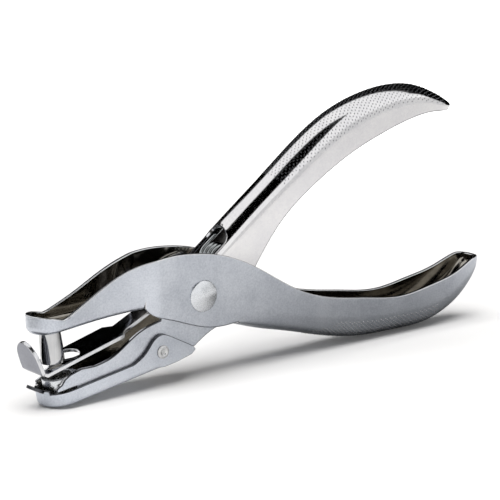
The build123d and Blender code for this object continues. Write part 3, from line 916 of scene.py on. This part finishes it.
@dataclass
class PivotJoint:
    """Domed rivet through both levers and the sleeve that keeps the cheeks apart."""

    head_r: float = 4.4
    dome: float = 1.5
    skirt: float = 0.3
    seat: float = 7.0
    shank_r: float = 2.4
    edge: float = 0.25
    dome_rows: int = 14
    facets: int = 56

    def build(self) -> None:
        """Turns the rivet and dresses the hidden sleeve."""
        cap = self.dome - self.skirt
        bow = (self.head_r ** 2 + cap ** 2) / (2 * cap)
        profile = [(bow * sin(turn), self.seat + self.dome - bow * (1 - cos(turn)))
                   for turn in np.linspace(0, asin(self.head_r / bow), self.dome_rows)]
        profile += [(self.head_r, self.seat), (self.shank_r, self.seat)]
        profile += [(radius, -height) for radius, height in reversed(profile)]
        bm = lathe(profile, PIVOT, Vector((0, 1, 0)), self.facets)
        rivet = add_piece("pivot_rivet_turned", bm, (HEADED_STEEL,))
        round_edges(rivet, self.edge)
        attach(rivet, Body.PUNCH.value)
        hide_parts("pivot_rivet")
        dress_node("pivot_sleeve", HEADED_STEEL)


@dataclass
class CuttingSet:
    """Punch pin riveted into the upper jaw, and the die block under it."""

    pin_x: float = -44.45
    pin_r: float = 3.175
    root_r: float = 2.85
    length: float = 8.8
    sheet: float = 1.1
    tenon_r: float = 1.9
    tenon_head_r: float = 2.7
    tenon_head: float = 0.8
    tenon_skirt: float = 0.2
    tenon_crown: tuple[Pair, ...] = ((0.0, -0.05), (0.8, 0.0), (1.5, -0.06), (2.4, -0.35))
    land: float = 2.5
    hollow: float = 0.6
    edge: float = 0.12
    facets: int = 56

    def build(self, lever: PunchLever) -> None:
        """Turns the pin square to the jaw's web and dresses the die.

        Args:
            lever: the lever that carries the pin.
        """
        tilt = radians(lever.web_tilt)
        axis = Vector((-sin(tilt), 0, cos(tilt)))
        foot = place(self.pin_x, 0, lever.web_z(self.pin_x))
        top = self.sheet + self.tenon_head
        profile = [(radius, top + drop) for radius, drop in self.tenon_crown]
        profile += [(self.tenon_head_r, self.sheet + self.tenon_skirt), (self.tenon_head_r, self.sheet),
                    (self.tenon_r, self.sheet), (self.tenon_r, 0.0), (self.root_r, 0.0),
                    (self.pin_r, self.land - self.length), (self.pin_r, -self.length),
                    (0.0, self.hollow - self.length)]
        bm = lathe(profile, foot, axis, self.facets)
        pin = add_piece("punch_pin_turned", bm, (GROUND_STEEL,))
        round_edges(pin, self.edge)
        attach(pin, Body.PUNCH.value)
        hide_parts("punch_pin")
        dress_node("die_block", HEADED_STEEL)


@dataclass
class Stripper:
    """Spring strip that pushes the paper off the pin: a leaf lip, a pin hole and an eye round the sleeve."""

    sheet: float = 1.0
    half: float = 5.3
    tongue_half: float = 3.0
    neck_half: float = 3.9
    slope: float = 15.2
    front: Pair = (-49.4, -14.0)
    back_x: float = -23.0
    lip_lean: float = 18.5
    lip_bend: float = 1.2
    lip_leaf: tuple[Pair, ...] = ((2.5, 5.3), (3.8, 5.15), (6.0, 4.75), (7.8, 3.6), (8.8, 2.4), (9.5, 0.0))
    hole_r: float = 4.4
    hole_at: float = 7.6
    hole_run: float = 3.4
    eye_r: float = 3.75
    eye_turn: float = 275.0
    after_hole: float = 1.0
    before_back: float = 2.0
    tip_half: float = 0.05
    edge: float = 0.2
    rows: int = 4
    leaf_columns: int = 22
    bend_columns: int = 8
    neck_columns: range = range(3, 7)
    hole_columns: int = 20
    strip_columns: int = 8
    tongue_columns: int = 8
    eye_columns: int = 26

    def lip_route(self, front: Vector, up: Vector, ahead: Vector) -> list[StripStep]:
        """Steps down the leaf of the lip and round its bend.

        Args:
            front: corner where lip and strip would meet.
            up: unit direction of the lip.
            ahead: unit direction of the strip.

        Returns:
            The steps in order.
        """
        corner = pi - up.angle(ahead)
        cut = self.lip_bend * tan(corner / 2)
        leaf = Track(self.lip_leaf).sample(self.leaf_columns)
        route = [(front + up * climb, 0.0, max(half, self.tip_half)) for climb, half in reversed(leaf)]
        route.append((front + up * cut, 0.0, self.half))
        centre = front + (up + ahead).normalized() * (self.lip_bend / cos(corner / 2))
        first = front + up * cut - centre
        for step in range(1, self.bend_columns + 1):
            turned = Matrix.Rotation(-corner * step / self.bend_columns, 3, "Y") @ first
            route.append((centre + turned, 0.0, self.neck_half if step in self.neck_columns else self.half))
        return route

    def hole_route(self, front: Vector, ahead: Vector, span: float) -> list[StripStep]:
        """Steps past the pin's hole and on to the back of the strip.

        Args:
            front: corner where lip and strip would meet.
            ahead: unit direction of the strip.
            span: length of the strip.

        Returns:
            The steps in order.
        """
        route = []
        for turn in np.linspace(0, pi, self.hole_columns):
            middle = self.hole_at + self.hole_run / 2 * (-1 if turn < pi / 2 else 1)
            along = middle - self.hole_r * cos(turn)
            route.append((front + ahead * along, self.hole_r * sin(turn), self.half))
        past_hole = self.hole_at + self.hole_run / 2 + self.hole_r + self.after_hole
        for along in np.linspace(past_hole, span - self.before_back, self.strip_columns):
            route.append((front + ahead * along, 0.0, self.half))
        return route

    def eye_route(self, back: Vector) -> list[StripStep]:
        """Steps along the tongue and round the eye on the sleeve.

        Args:
            back: end of the strip, where its tongue begins.

        Returns:
            The steps in order.
        """
        lead = atan2(-back.z, -back.x) + asin(self.eye_r / hypot(back.x, back.z))
        angles = pi / 2 + lead - np.linspace(0, radians(self.eye_turn), self.eye_columns)
        eye = [Vector((self.eye_r * cos(angle), 0, self.eye_r * sin(angle))) for angle in angles]
        tongue = [back.lerp(eye[0], share) for share in np.linspace(0, 1, self.tongue_columns)]
        return [(point, 0.0, self.tongue_half) for point in tongue + eye[1:]]

    def build(self) -> None:
        """Bends the strip along its side view and cuts its outline."""
        slope, lean = radians(self.slope), radians(self.lip_lean)
        ahead = Vector((cos(slope), 0, sin(slope)))
        up = Vector((-sin(lean), 0, cos(lean)))
        front = Vector((self.front[0], 0, self.front[1]))
        span = (self.back_x - self.front[0]) / cos(slope)
        route = self.lip_route(front, up, ahead) + self.hole_route(front, ahead, span)
        route += self.eye_route(front + ahead * span)
        columns = []
        for point, inner, outer in route:
            ys = np.linspace(-outer, -inner, self.rows + 1)
            columns.append([place(point.x, y, point.z) for y in ys])
        bm = pressed_half(columns)
        join_halves(bm, Vector((-1, 0, -0.4)))
        strip = add_piece("stripper_strip", bm, (ROLLED_STRIP_AND_SHADE, ROLLED_STRIP_AND_SHADE, SHEARED_EDGE))
        thicken(strip, self.sheet, self.edge, offset=0.0)
        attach(strip, Body.DIE.value)
        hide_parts("stripper")


@dataclass
class ChipTray:
    """Trough under the lower jaw: round nose, stepped front wall, thumb leaf and two hinge ears."""

    sheet: float = 0.85
    edge: float = 0.15
    half: float = 6.75
    tilt: float = 9.7
    nose: Pair = (-41.2, -22.48)
    wall: float = 4.0
    front_wall: float = 4.9
    step: float = -5.6
    bend: float = 1.4
    floor_end: float = 27.0
    ear_start: float = 19.5
    curl_end: float = 28.5
    curl_run: float = 1.5
    foot_end: float = 33.0
    ear: tuple[Pair, ...] = ((-18.4, -12.3), (-15.6, -9.2), (-13.6, -8.5), (-11.0, -9.3))
    ear_tail: Pair = (-3.6, -13.3)
    ear_tip: Pair = (-2.7, -14.4)
    ear_foot: Pair = (-3.9, -15.6)
    ear_band: float = 0.3
    ear_blunt: float = 0.15
    hinge: Pair = (-13.5, -13.3)
    pin_head_r: float = 1.85
    pin_r: float = 1.25
    pin_dome: float = 0.55
    pin_gap: float = 0.05
    pin_end: float = 4.4
    pin_edge: float = 0.1
    pin_facets: int = 36
    pin_ring: tuple[Pair, ...] = ((0.0, 0.3), (0.35, 0.35), (0.5, 0.85), (0.66, 1.0), (0.86, 0.75),
                                  (1.0, 0.1))
    thumb_root: Pair = (-48.2, -19.0)
    thumb_slope: float = -27.0
    thumb_length: float = 3.9
    thumb_half: float = 2.2
    thumb_edge: float = 0.14
    thumb_facets: int = 28
    wall_rows: int = 6
    bend_rows: int = 5
    floor_rows: int = 5
    front_columns: int = 8
    side_columns: int = 12
    step_turn: float = 0.004
    floor_columns: int = 32
    ear_columns: int = 27
    ridge_points: int = 40

    def spot(self, along: float, y: float, above: float) -> Vector:
        """A point from the tray's own directions.

        Args:
            along: distance along the floor from the centre of the nose.
            y: place across the tray.
            above: height over the floor.

        Returns:
            The point in metres.
        """
        tilt = radians(self.tilt)
        return place(self.nose[0] + along * cos(tilt) - above * sin(tilt), y,
                     self.nose[1] + along * sin(tilt) + above * cos(tilt))

    def own(self, x: float, z: float) -> Pair:
        """Turns a side-view point to the tray's own directions.

        Args:
            x: distance from the pivot along the punch.
            z: height off the pivot.

        Returns:
            Its distance along the floor and height over it.
        """
        tilt = radians(self.tilt)
        across, up = x - self.nose[0], z - self.nose[1]
        return across * cos(tilt) + up * sin(tilt), up * cos(tilt) - across * sin(tilt)

    def section(self, along: float, y: float, inward: Pair, top: float) -> list[Vector]:
        """Outline from the wall's top round the bend to the middle of the floor.

        Args:
            along: place of the wall along the floor.
            y: place of the wall across the tray.
            inward: unit direction from the wall to the inside, in plan.
            top: height of the wall.

        Returns:
            The outline's points.
        """
        points = [self.spot(along, y, above) for above in np.linspace(top, self.bend, self.wall_rows + 1)]
        for step in range(1, self.bend_rows + 1):
            turn = pi / 2 * step / self.bend_rows
            inset = self.bend * (1 - cos(turn))
            points.append(self.spot(along + inward[0] * inset, y + inward[1] * inset,
                                    self.bend * (1 - sin(turn))))
        edge_a, edge_y = along + inward[0] * self.bend, y + inward[1] * self.bend
        middle = max(along, 0.0)
        for step in range(1, self.floor_rows + 1):
            share = step / self.floor_rows
            points.append(self.spot(edge_a + (middle - edge_a) * share, edge_y * (1 - share), 0.0))
        return points

    def ear_section(self, along: float, top: float, low: float, curl: float) -> list[Vector]:
        """Outline of a hinge ear.

        Args:
            along: place along the floor.
            top: height of the ear's upper edge.
            low: height of its lower edge.
            curl: 1 where the ear keeps the floor's bend, 0 where it runs out flat.

        Returns:
            The outline's points.
        """
        band = min(self.bend, self.ear_band * (top - low))
        heights = np.linspace(top, low + band, self.wall_rows + 1)
        points = [self.spot(along, -self.half, above) for above in heights]
        for step in range(1, self.bend_rows + 1):
            turn = pi / 2 * step / self.bend_rows
            inset = self.bend * (1 - cos(turn)) * curl
            points.append(self.spot(along, inset - self.half, low + band * (1 - sin(turn))))
        return points + [points[-1]] * self.floor_rows

    def build(self) -> None:
        """Presses the trough, its thumb leaf and its two pins."""
        start = (self.ear_start, self.wall)
        ridge = Track([start, *[self.own(*point) for point in self.ear]]).sample(self.ridge_points)
        tip, foot = self.own(*self.ear_tip), self.own(*self.ear_foot)
        ridge += [self.own(*self.ear_tail), tip]
        columns = []
        front_end = acos(self.step / self.half)
        turns = [(turn, self.front_wall) for turn in np.linspace(pi, front_end, self.front_columns)]
        turns += [(turn, self.wall)
                  for turn in np.linspace(front_end - self.step_turn, pi / 2, self.side_columns)]
        for turn, top in turns:
            along, y = self.half * cos(turn), -self.half * sin(turn)
            columns.append(self.section(along, y, (-cos(turn), sin(turn)), top))
        tops = tuple(zip(*ridge))
        lows = tuple(zip((0.0, 0.0), (self.foot_end, 0.0), foot, tip))

        def top_at(along: float) -> float:
            """Height of the wall or ear."""
            return self.wall if along < self.ear_start else float(np.interp(along, *tops))

        for along in np.linspace(0, self.floor_end, self.floor_columns)[1:]:
            columns.append(self.section(along, -self.half, (0.0, 1.0), top_at(along)))
        floor_last = len(columns) - 1
        for share in np.sin(np.linspace(0, pi / 2, self.ear_columns))[1:]:
            along = self.floor_end + (tip[0] - self.ear_blunt - self.floor_end) * share
            curl = float(np.clip((self.curl_end - along) / self.curl_run, 0, 1))
            columns.append(self.ear_section(along, top_at(along), float(np.interp(along, *lows)), curl))

        def keep(column: int, row: int) -> bool:
            """The floor and the inner end of its bend stop before the ears."""
            return column < floor_last or row < self.wall_rows + self.bend_rows - 1

        bm = pressed_half(columns, keep)
        join_halves(bm, Vector((0, -1, 0)))
        tray = add_piece("chip_tray_sheet", bm, (SATIN_PLATE, INSIDE_PLATE, BARE_EDGE_AND_GAP_SHADE))
        thicken(tray, self.sheet, self.edge)
        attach(tray, Body.TRAY.value)
        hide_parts("chip_tray")
        self.build_thumb()
        self.build_pins()

    def build_thumb(self) -> None:
        """Cuts the round-ended leaf that swings the tray open."""
        bm = bmesh.new()
        half = self.thumb_half * MM
        bmesh.ops.create_circle(bm, segments=self.thumb_facets, radius=half, cap_ends=True)
        reach = self.thumb_length - self.thumb_half
        for vert in bm.verts:
            if vert.co.x > SHEET_MERGE * MM:
                vert.co.x = reach * MM
                vert.co.y = half if vert.co.y > 0 else -half
        bmesh.ops.remove_doubles(bm, verts=bm.verts, dist=SHEET_MERGE * MM)
        bmesh.ops.translate(bm, verts=bm.verts, vec=(-reach * MM, 0, 0))
        turn = Matrix.Rotation(radians(-self.thumb_slope), 4, "Y")
        root = Matrix.Translation(place(self.thumb_root[0], 0, self.thumb_root[1]))
        bmesh.ops.transform(bm, verts=bm.verts, matrix=root @ turn)
        bmesh.ops.recalc_face_normals(bm, faces=bm.faces)
        leaf = add_piece("chip_tray_thumb_leaf", bm, (ROLLED_STRIP_AND_SHADE, ROLLED_STRIP_AND_SHADE, BARE_EDGE_AND_GAP_SHADE))
        thicken(leaf, self.sheet, self.thumb_edge, offset=0.0)
        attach(leaf, Body.TRAY.value)

    def build_pins(self) -> None:
        """Turns the two short rivets that carry the ears."""
        seat = self.half + self.pin_gap
        profile = [(self.pin_head_r * share, seat + self.pin_dome * rise) for share, rise in self.pin_ring]
        profile += [(self.pin_head_r, seat), (self.pin_r, seat), (self.pin_r, self.pin_end),
                    (0.0, self.pin_end)]
        foot = place(self.hinge[0], 0, self.hinge[1])
        bm = lathe(profile, foot, Vector((0, -1, 0)), self.pin_facets)
        geom = bm.verts[:] + bm.edges[:] + bm.faces[:]
        bmesh.ops.mirror(bm, geom=geom, matrix=Matrix.Identity(4), merge_dist=FINE_MERGE * MM, axis="Y")
        bmesh.ops.recalc_face_normals(bm, faces=bm.faces)
        pins = add_piece("tray_pins_turned", bm, (GROUND_STEEL,))
        round_edges(pins, self.pin_edge)
        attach(pins, Body.DIE.value)
        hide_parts("tray_pins")


@dataclass
class ReturnSpring:
    """Torsion spring behind the pivot with one leg along each handle."""

    wire_r: float = 0.55
    coil_r: float = 4.3
    centre: Pair = (10.2, 7.4)
    pitch: float = 1.7
    turns: int = 3
    upper_dir: float = 37.0
    upper_leg: float = 26.0
    lower_dir: float = -39.0
    lower_leg: float = 27.4
    bend_from: float = 0.4
    facets: int = 14
    steps: int = 110

    def coil_spot(self, turn: float, y: float) -> Vector:
        """The middle of the wire at an angle round the coil."""
        return place(self.centre[0] + self.coil_r * cos(turn), y, self.centre[1] + self.coil_r * sin(turn))

    @staticmethod
    def run_out(bm: bmesh.types.BMesh, edges: Sequence[bmesh.types.BMEdge], leg: Vector) -> None:
        """Runs a ring of the wire out into a straight leg with a closed end.

        Args:
            bm: the spring's mesh, changed in place.
            edges: the ring.
            leg: direction and length of the leg in metres.
        """
        out = bmesh.ops.extrude_edge_only(bm, edges=edges)["geom"]
        outer = [item for item in out if isinstance(item, bmesh.types.BMVert)]
        bmesh.ops.translate(bm, verts=outer, vec=leg)
        bmesh.ops.contextual_create(bm, geom=[item for item in out if isinstance(item, bmesh.types.BMEdge)])

    def build(self) -> None:
        """Winds the coil and runs out its two legs."""
        total = 360 * self.turns + self.lower_dir - self.upper_dir + 180
        start = radians(self.upper_dir + 90)
        end = start + radians(total)
        rise = self.pitch * total / 360
        heading, tail = (Vector((-sin(turn), 0, cos(turn))) for turn in (start, end))
        turn = heading.to_track_quat("Z", "Y").to_matrix().to_4x4()
        at = Matrix.Translation(self.coil_spot(start, rise / 2)) @ turn
        bm = bmesh.new()
        ring = bmesh.ops.create_circle(bm, segments=self.facets, radius=self.wire_r * MM, matrix=at)
        edges = list(dict.fromkeys(edge for vert in ring["verts"] for edge in vert.link_edges))
        self.run_out(bm, edges, heading * -self.upper_leg * MM)
        wound = bmesh.ops.spin(bm, geom=ring["verts"] + edges, cent=place(self.centre[0], 0, self.centre[1]),
                               axis=(0, -1, 0), angle=radians(total), steps=self.steps,
                               dvec=(0, -rise / self.steps * MM, 0))["geom_last"]
        edges = [item for item in wound if isinstance(item, bmesh.types.BMEdge)]
        self.run_out(bm, edges, tail * self.lower_leg * MM)
        bmesh.ops.remove_doubles(bm, verts=bm.verts, dist=FINE_MERGE * MM)
        bmesh.ops.recalc_face_normals(bm, faces=bm.faces)
        spring = add_piece("return_spring_wire", bm, (DRAWN_WIRE,))
        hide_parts("return_spring")
        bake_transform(spring)


@dataclass(frozen=True)
class Flag:
    """A card that only reflections see: direction and distance from the pivot, size and brightness."""

    name: str
    toward: Triple
    distance: float
    size: Pair
    level: float


def stage_tree(piece: bpy.types.Object, name: str) -> bpy.types.NodeTree:
    """Gives a piece of the stage a material with no nodes yet.

    Args:
        piece: the floor or a card.
        name: the material's name.

    Returns:
        The material's empty node tree.
    """
    made = bpy.data.materials.new(name)
    made.use_nodes = True
    made.node_tree.nodes.clear()
    piece.data.materials.append(made)
    return made.node_tree


def ramp(run: Pair, levels: Pair) -> dict[str, float]:
    """Settings of a Map Range node that goes from one level to another over a run."""
    return {"From Min": run[0], "From Max": run[1], "To Min": levels[0], "To Max": levels[1]}


@dataclass
class Studio:
    """Pale floor, soft light and the camera."""

    lens: float = 144.0
    azimuth: float = -36.5323
    elevation: float = 12.6721
    distance: float = 558.198
    target: Pair = (21.2247, 8.4591)
    roll: float = -1.0507
    sensor: float = 36.0
    clip_start: float = 0.01
    sun_level: float = 3.25
    sun_spread: float = 60.0
    sun_way: Triple = (0.12, 0.06, -1.0)
    fill_level: float = 0.12
    floor_half: float = 6.0
    floor_drop: float = 0.0002
    floor_tone: str = "#F4F3F2"
    glow_run: Pair = (0.12, 0.45)
    glow_levels: Pair = (0.06, 0.8)
    # Paint of the floor as reflections see it: darkened round a point in front of the lower handle and, less,
    # far off: painted shade for the floor's unlit side.
    painted_shade_centre: Triple = (0.058, -0.02, 0.0)
    painted_shade_run: Pair = (0.01, 0.13)
    painted_shade_levels: Pair = (0.74, 0.03)
    painted_dusk_run: Pair = (0.16, 0.40)
    painted_dusk_levels: Pair = (0.0, 0.18)
    flags: tuple[Flag, ...] = (
        Flag("top_flag", (-0.35, -0.40, 0.85), 0.6, (0.60, 0.60), 0.0),
        Flag("back_flag", (0.05, 1.0, 0.04), 0.45, (0.24, 0.36), 0.0),
        Flag("right_flag", (0.83, 0.56, 0.30), 0.45, (0.95, 0.75), 0.0),
        Flag("front_flag", (0.75, -0.62, 0.16), 0.6, (0.8, 0.26), 0.72),
        Flag("left_flag", (-0.90, 0.35, -0.08), 0.13, (0.22, 0.09), 0.4))

    def build(self) -> None:
        """Sets up camera, world, floor, lamp and flags."""
        self.set_camera()
        self.set_world()
        self.lay_floor()
        self.hang_sun()
        for flag in self.flags:
            self.hang_flag(flag)

    def set_camera(self) -> None:
        """Puts the camera where the photograph was taken from."""
        turn, tilt, roll = radians(self.azimuth), radians(self.elevation), radians(self.roll)
        back = Vector((sin(turn) * cos(tilt), -cos(turn) * cos(tilt), sin(tilt)))
        right = Vector((cos(turn), sin(turn), 0))
        up = back.cross(right)
        across = right * cos(roll) + up * sin(roll)
        data = bpy.data.cameras.new("camera")
        data.lens = self.lens
        data.sensor_width = self.sensor
        data.clip_start = self.clip_start
        camera = bpy.data.objects.new("camera", data)
        spot = place(self.target[0], 0, self.target[1]) + back * self.distance * MM
        facing = Matrix((across, back.cross(across), back)).transposed().to_4x4()
        camera.matrix_world = Matrix.Translation(spot) @ facing
        bpy.context.scene.collection.objects.link(camera)
        bpy.context.scene.camera = camera

    def hang_sun(self) -> None:
        """A broad soft lamp from above, which reflections do not see."""
        sun = bpy.data.lights.new("key", "SUN")
        sun.energy = self.sun_level
        sun.angle = radians(self.sun_spread)
        key = bpy.data.objects.new("key", sun)
        key.rotation_euler = Vector(self.sun_way).to_track_quat("-Z", "Y").to_euler()
        key.visible_glossy = False
        bpy.context.scene.collection.objects.link(key)

    def set_world(self) -> None:
        """White for the camera and for reflections, and a low fill for diffuse light."""
        world = bpy.data.worlds.new("studio")
        world.use_nodes = True
        tree = world.node_tree
        tree.nodes.clear()
        path = add_node(tree, "ShaderNodeLightPath")
        seen = add_node(tree, "ShaderNodeMath", {"operation": "MAXIMUM"},
                        {0: path.outputs["Is Camera Ray"], 1: path.outputs["Is Glossy Ray"]})
        level = add_node(tree, "ShaderNodeMapRange", {"To Min": self.fill_level, "To Max": 1.0},
                         {"Value": seen.outputs["Value"]})
        sky = add_node(tree, "ShaderNodeBackground", {"Color": hex_linear("#FFFFFF")},
                       {"Strength": level.outputs["Result"]})
        add_node(tree, "ShaderNodeOutputWorld", {}, {"Surface": sky.outputs[0]})
        bpy.context.scene.world = world

    def lay_floor(self) -> None:
        """A wide pale floor that keeps the shadow near the object and goes to white further off."""
        bm = bmesh.new()
        bmesh.ops.create_grid(bm, x_segments=1, y_segments=1, size=self.floor_half)
        floor = link_mesh("floor", bm)
        floor.location.z = -self.floor_drop
        tree = stage_tree(floor, "pale_floor")
        path = add_node(tree, "ShaderNodeLightPath")
        spot = add_node(tree, "ShaderNodeTexCoord").outputs["Object"]
        far = add_node(tree, "ShaderNodeVectorMath", {"operation": "LENGTH"}, {0: spot})
        near = add_node(tree, "ShaderNodeVectorMath", {"operation": "DISTANCE", 1: self.painted_shade_centre},
                        {0: spot})
        smooth = {"interpolation_type": "SMOOTHSTEP"}
        fade = add_node(tree, "ShaderNodeMapRange", smooth | ramp(self.glow_run, self.glow_levels),
                        {"Value": far.outputs["Value"]})
        # Only glossy rays see the floor's paint darkened near the object and far off: painted shade.
        shade = add_node(tree, "ShaderNodeMapRange", smooth | ramp(self.painted_shade_run, self.painted_shade_levels),
                         {"Value": near.outputs["Value"]})
        dusk = add_node(tree, "ShaderNodeMapRange", ramp(self.painted_dusk_run, self.painted_dusk_levels),
                        {"Value": far.outputs["Value"]})
        lift = add_node(tree, "ShaderNodeMath", {"operation": "MULTIPLY"},
                        {0: fade.outputs["Result"], 1: path.outputs["Is Camera Ray"]})
        glow = add_node(tree, "ShaderNodeEmission", {"Color": hex_linear("#FFFFFF")},
                        {"Strength": lift.outputs["Value"]})
        total = add_node(tree, "ShaderNodeMath", {"operation": "ADD"},
                         {0: shade.outputs["Result"], 1: dusk.outputs["Result"]})
        dark = add_node(tree, "ShaderNodeMath", {"operation": "MULTIPLY"},
                        {0: total.outputs["Value"], 1: path.outputs["Is Glossy Ray"]})
        tones = {MIX_FIRST: hex_linear(self.floor_tone), MIX_SECOND: hex_linear("#000000")}
        paint = add_node(tree, "ShaderNodeMix", {"data_type": "RGBA", **tones}, {0: dark.outputs["Value"]})
        matt = add_node(tree, "ShaderNodeBsdfDiffuse", {}, {"Color": paint.outputs[MIX_RESULT]})
        both = add_node(tree, "ShaderNodeAddShader", {}, {0: matt.outputs[0], 1: glow.outputs[0]})
        add_node(tree, "ShaderNodeOutputMaterial", {}, {"Surface": both.outputs[0]})

    def hang_flag(self, flag: Flag) -> None:
        """Hangs a card that only reflections see.

        Args:
            flag: the card.
        """
        aim = Vector(flag.toward).normalized()
        bm = bmesh.new()
        bmesh.ops.create_grid(bm, x_segments=1, y_segments=1, size=0.5)
        bmesh.ops.scale(bm, verts=bm.verts, vec=(*flag.size, 1.0))
        turn = (-aim).to_track_quat("Z", "Y").to_matrix().to_4x4()
        bmesh.ops.transform(bm, verts=bm.verts, matrix=Matrix.Translation(PIVOT + aim * flag.distance) @ turn)
        card = link_mesh(flag.name, bm)
        tree = stage_tree(card, flag.name)
        glow = add_node(tree, "ShaderNodeEmission", {"Color": hex_linear("#FFFFFF"), "Strength": flag.level})
        add_node(tree, "ShaderNodeOutputMaterial", {}, {"Surface": glow.outputs[0]})
        card.visible_camera = False
        card.visible_diffuse = False
        card.visible_shadow = False


def main() -> None:
    """Builds the punch and its studio."""
    logging.basicConfig(level=logging.INFO, format="%(name)s: %(message)s")
    bpy.context.scene.view_settings.view_transform = "Standard"
    lever = PunchLever()
    lever.build()
    DieLever().build()
    PivotJoint().build()
    CuttingSet().build(lever)
    Stripper().build()
    ChipTray().build()
    ReturnSpring().build()
    Studio().build()


if __name__ == "__main__":
    main()
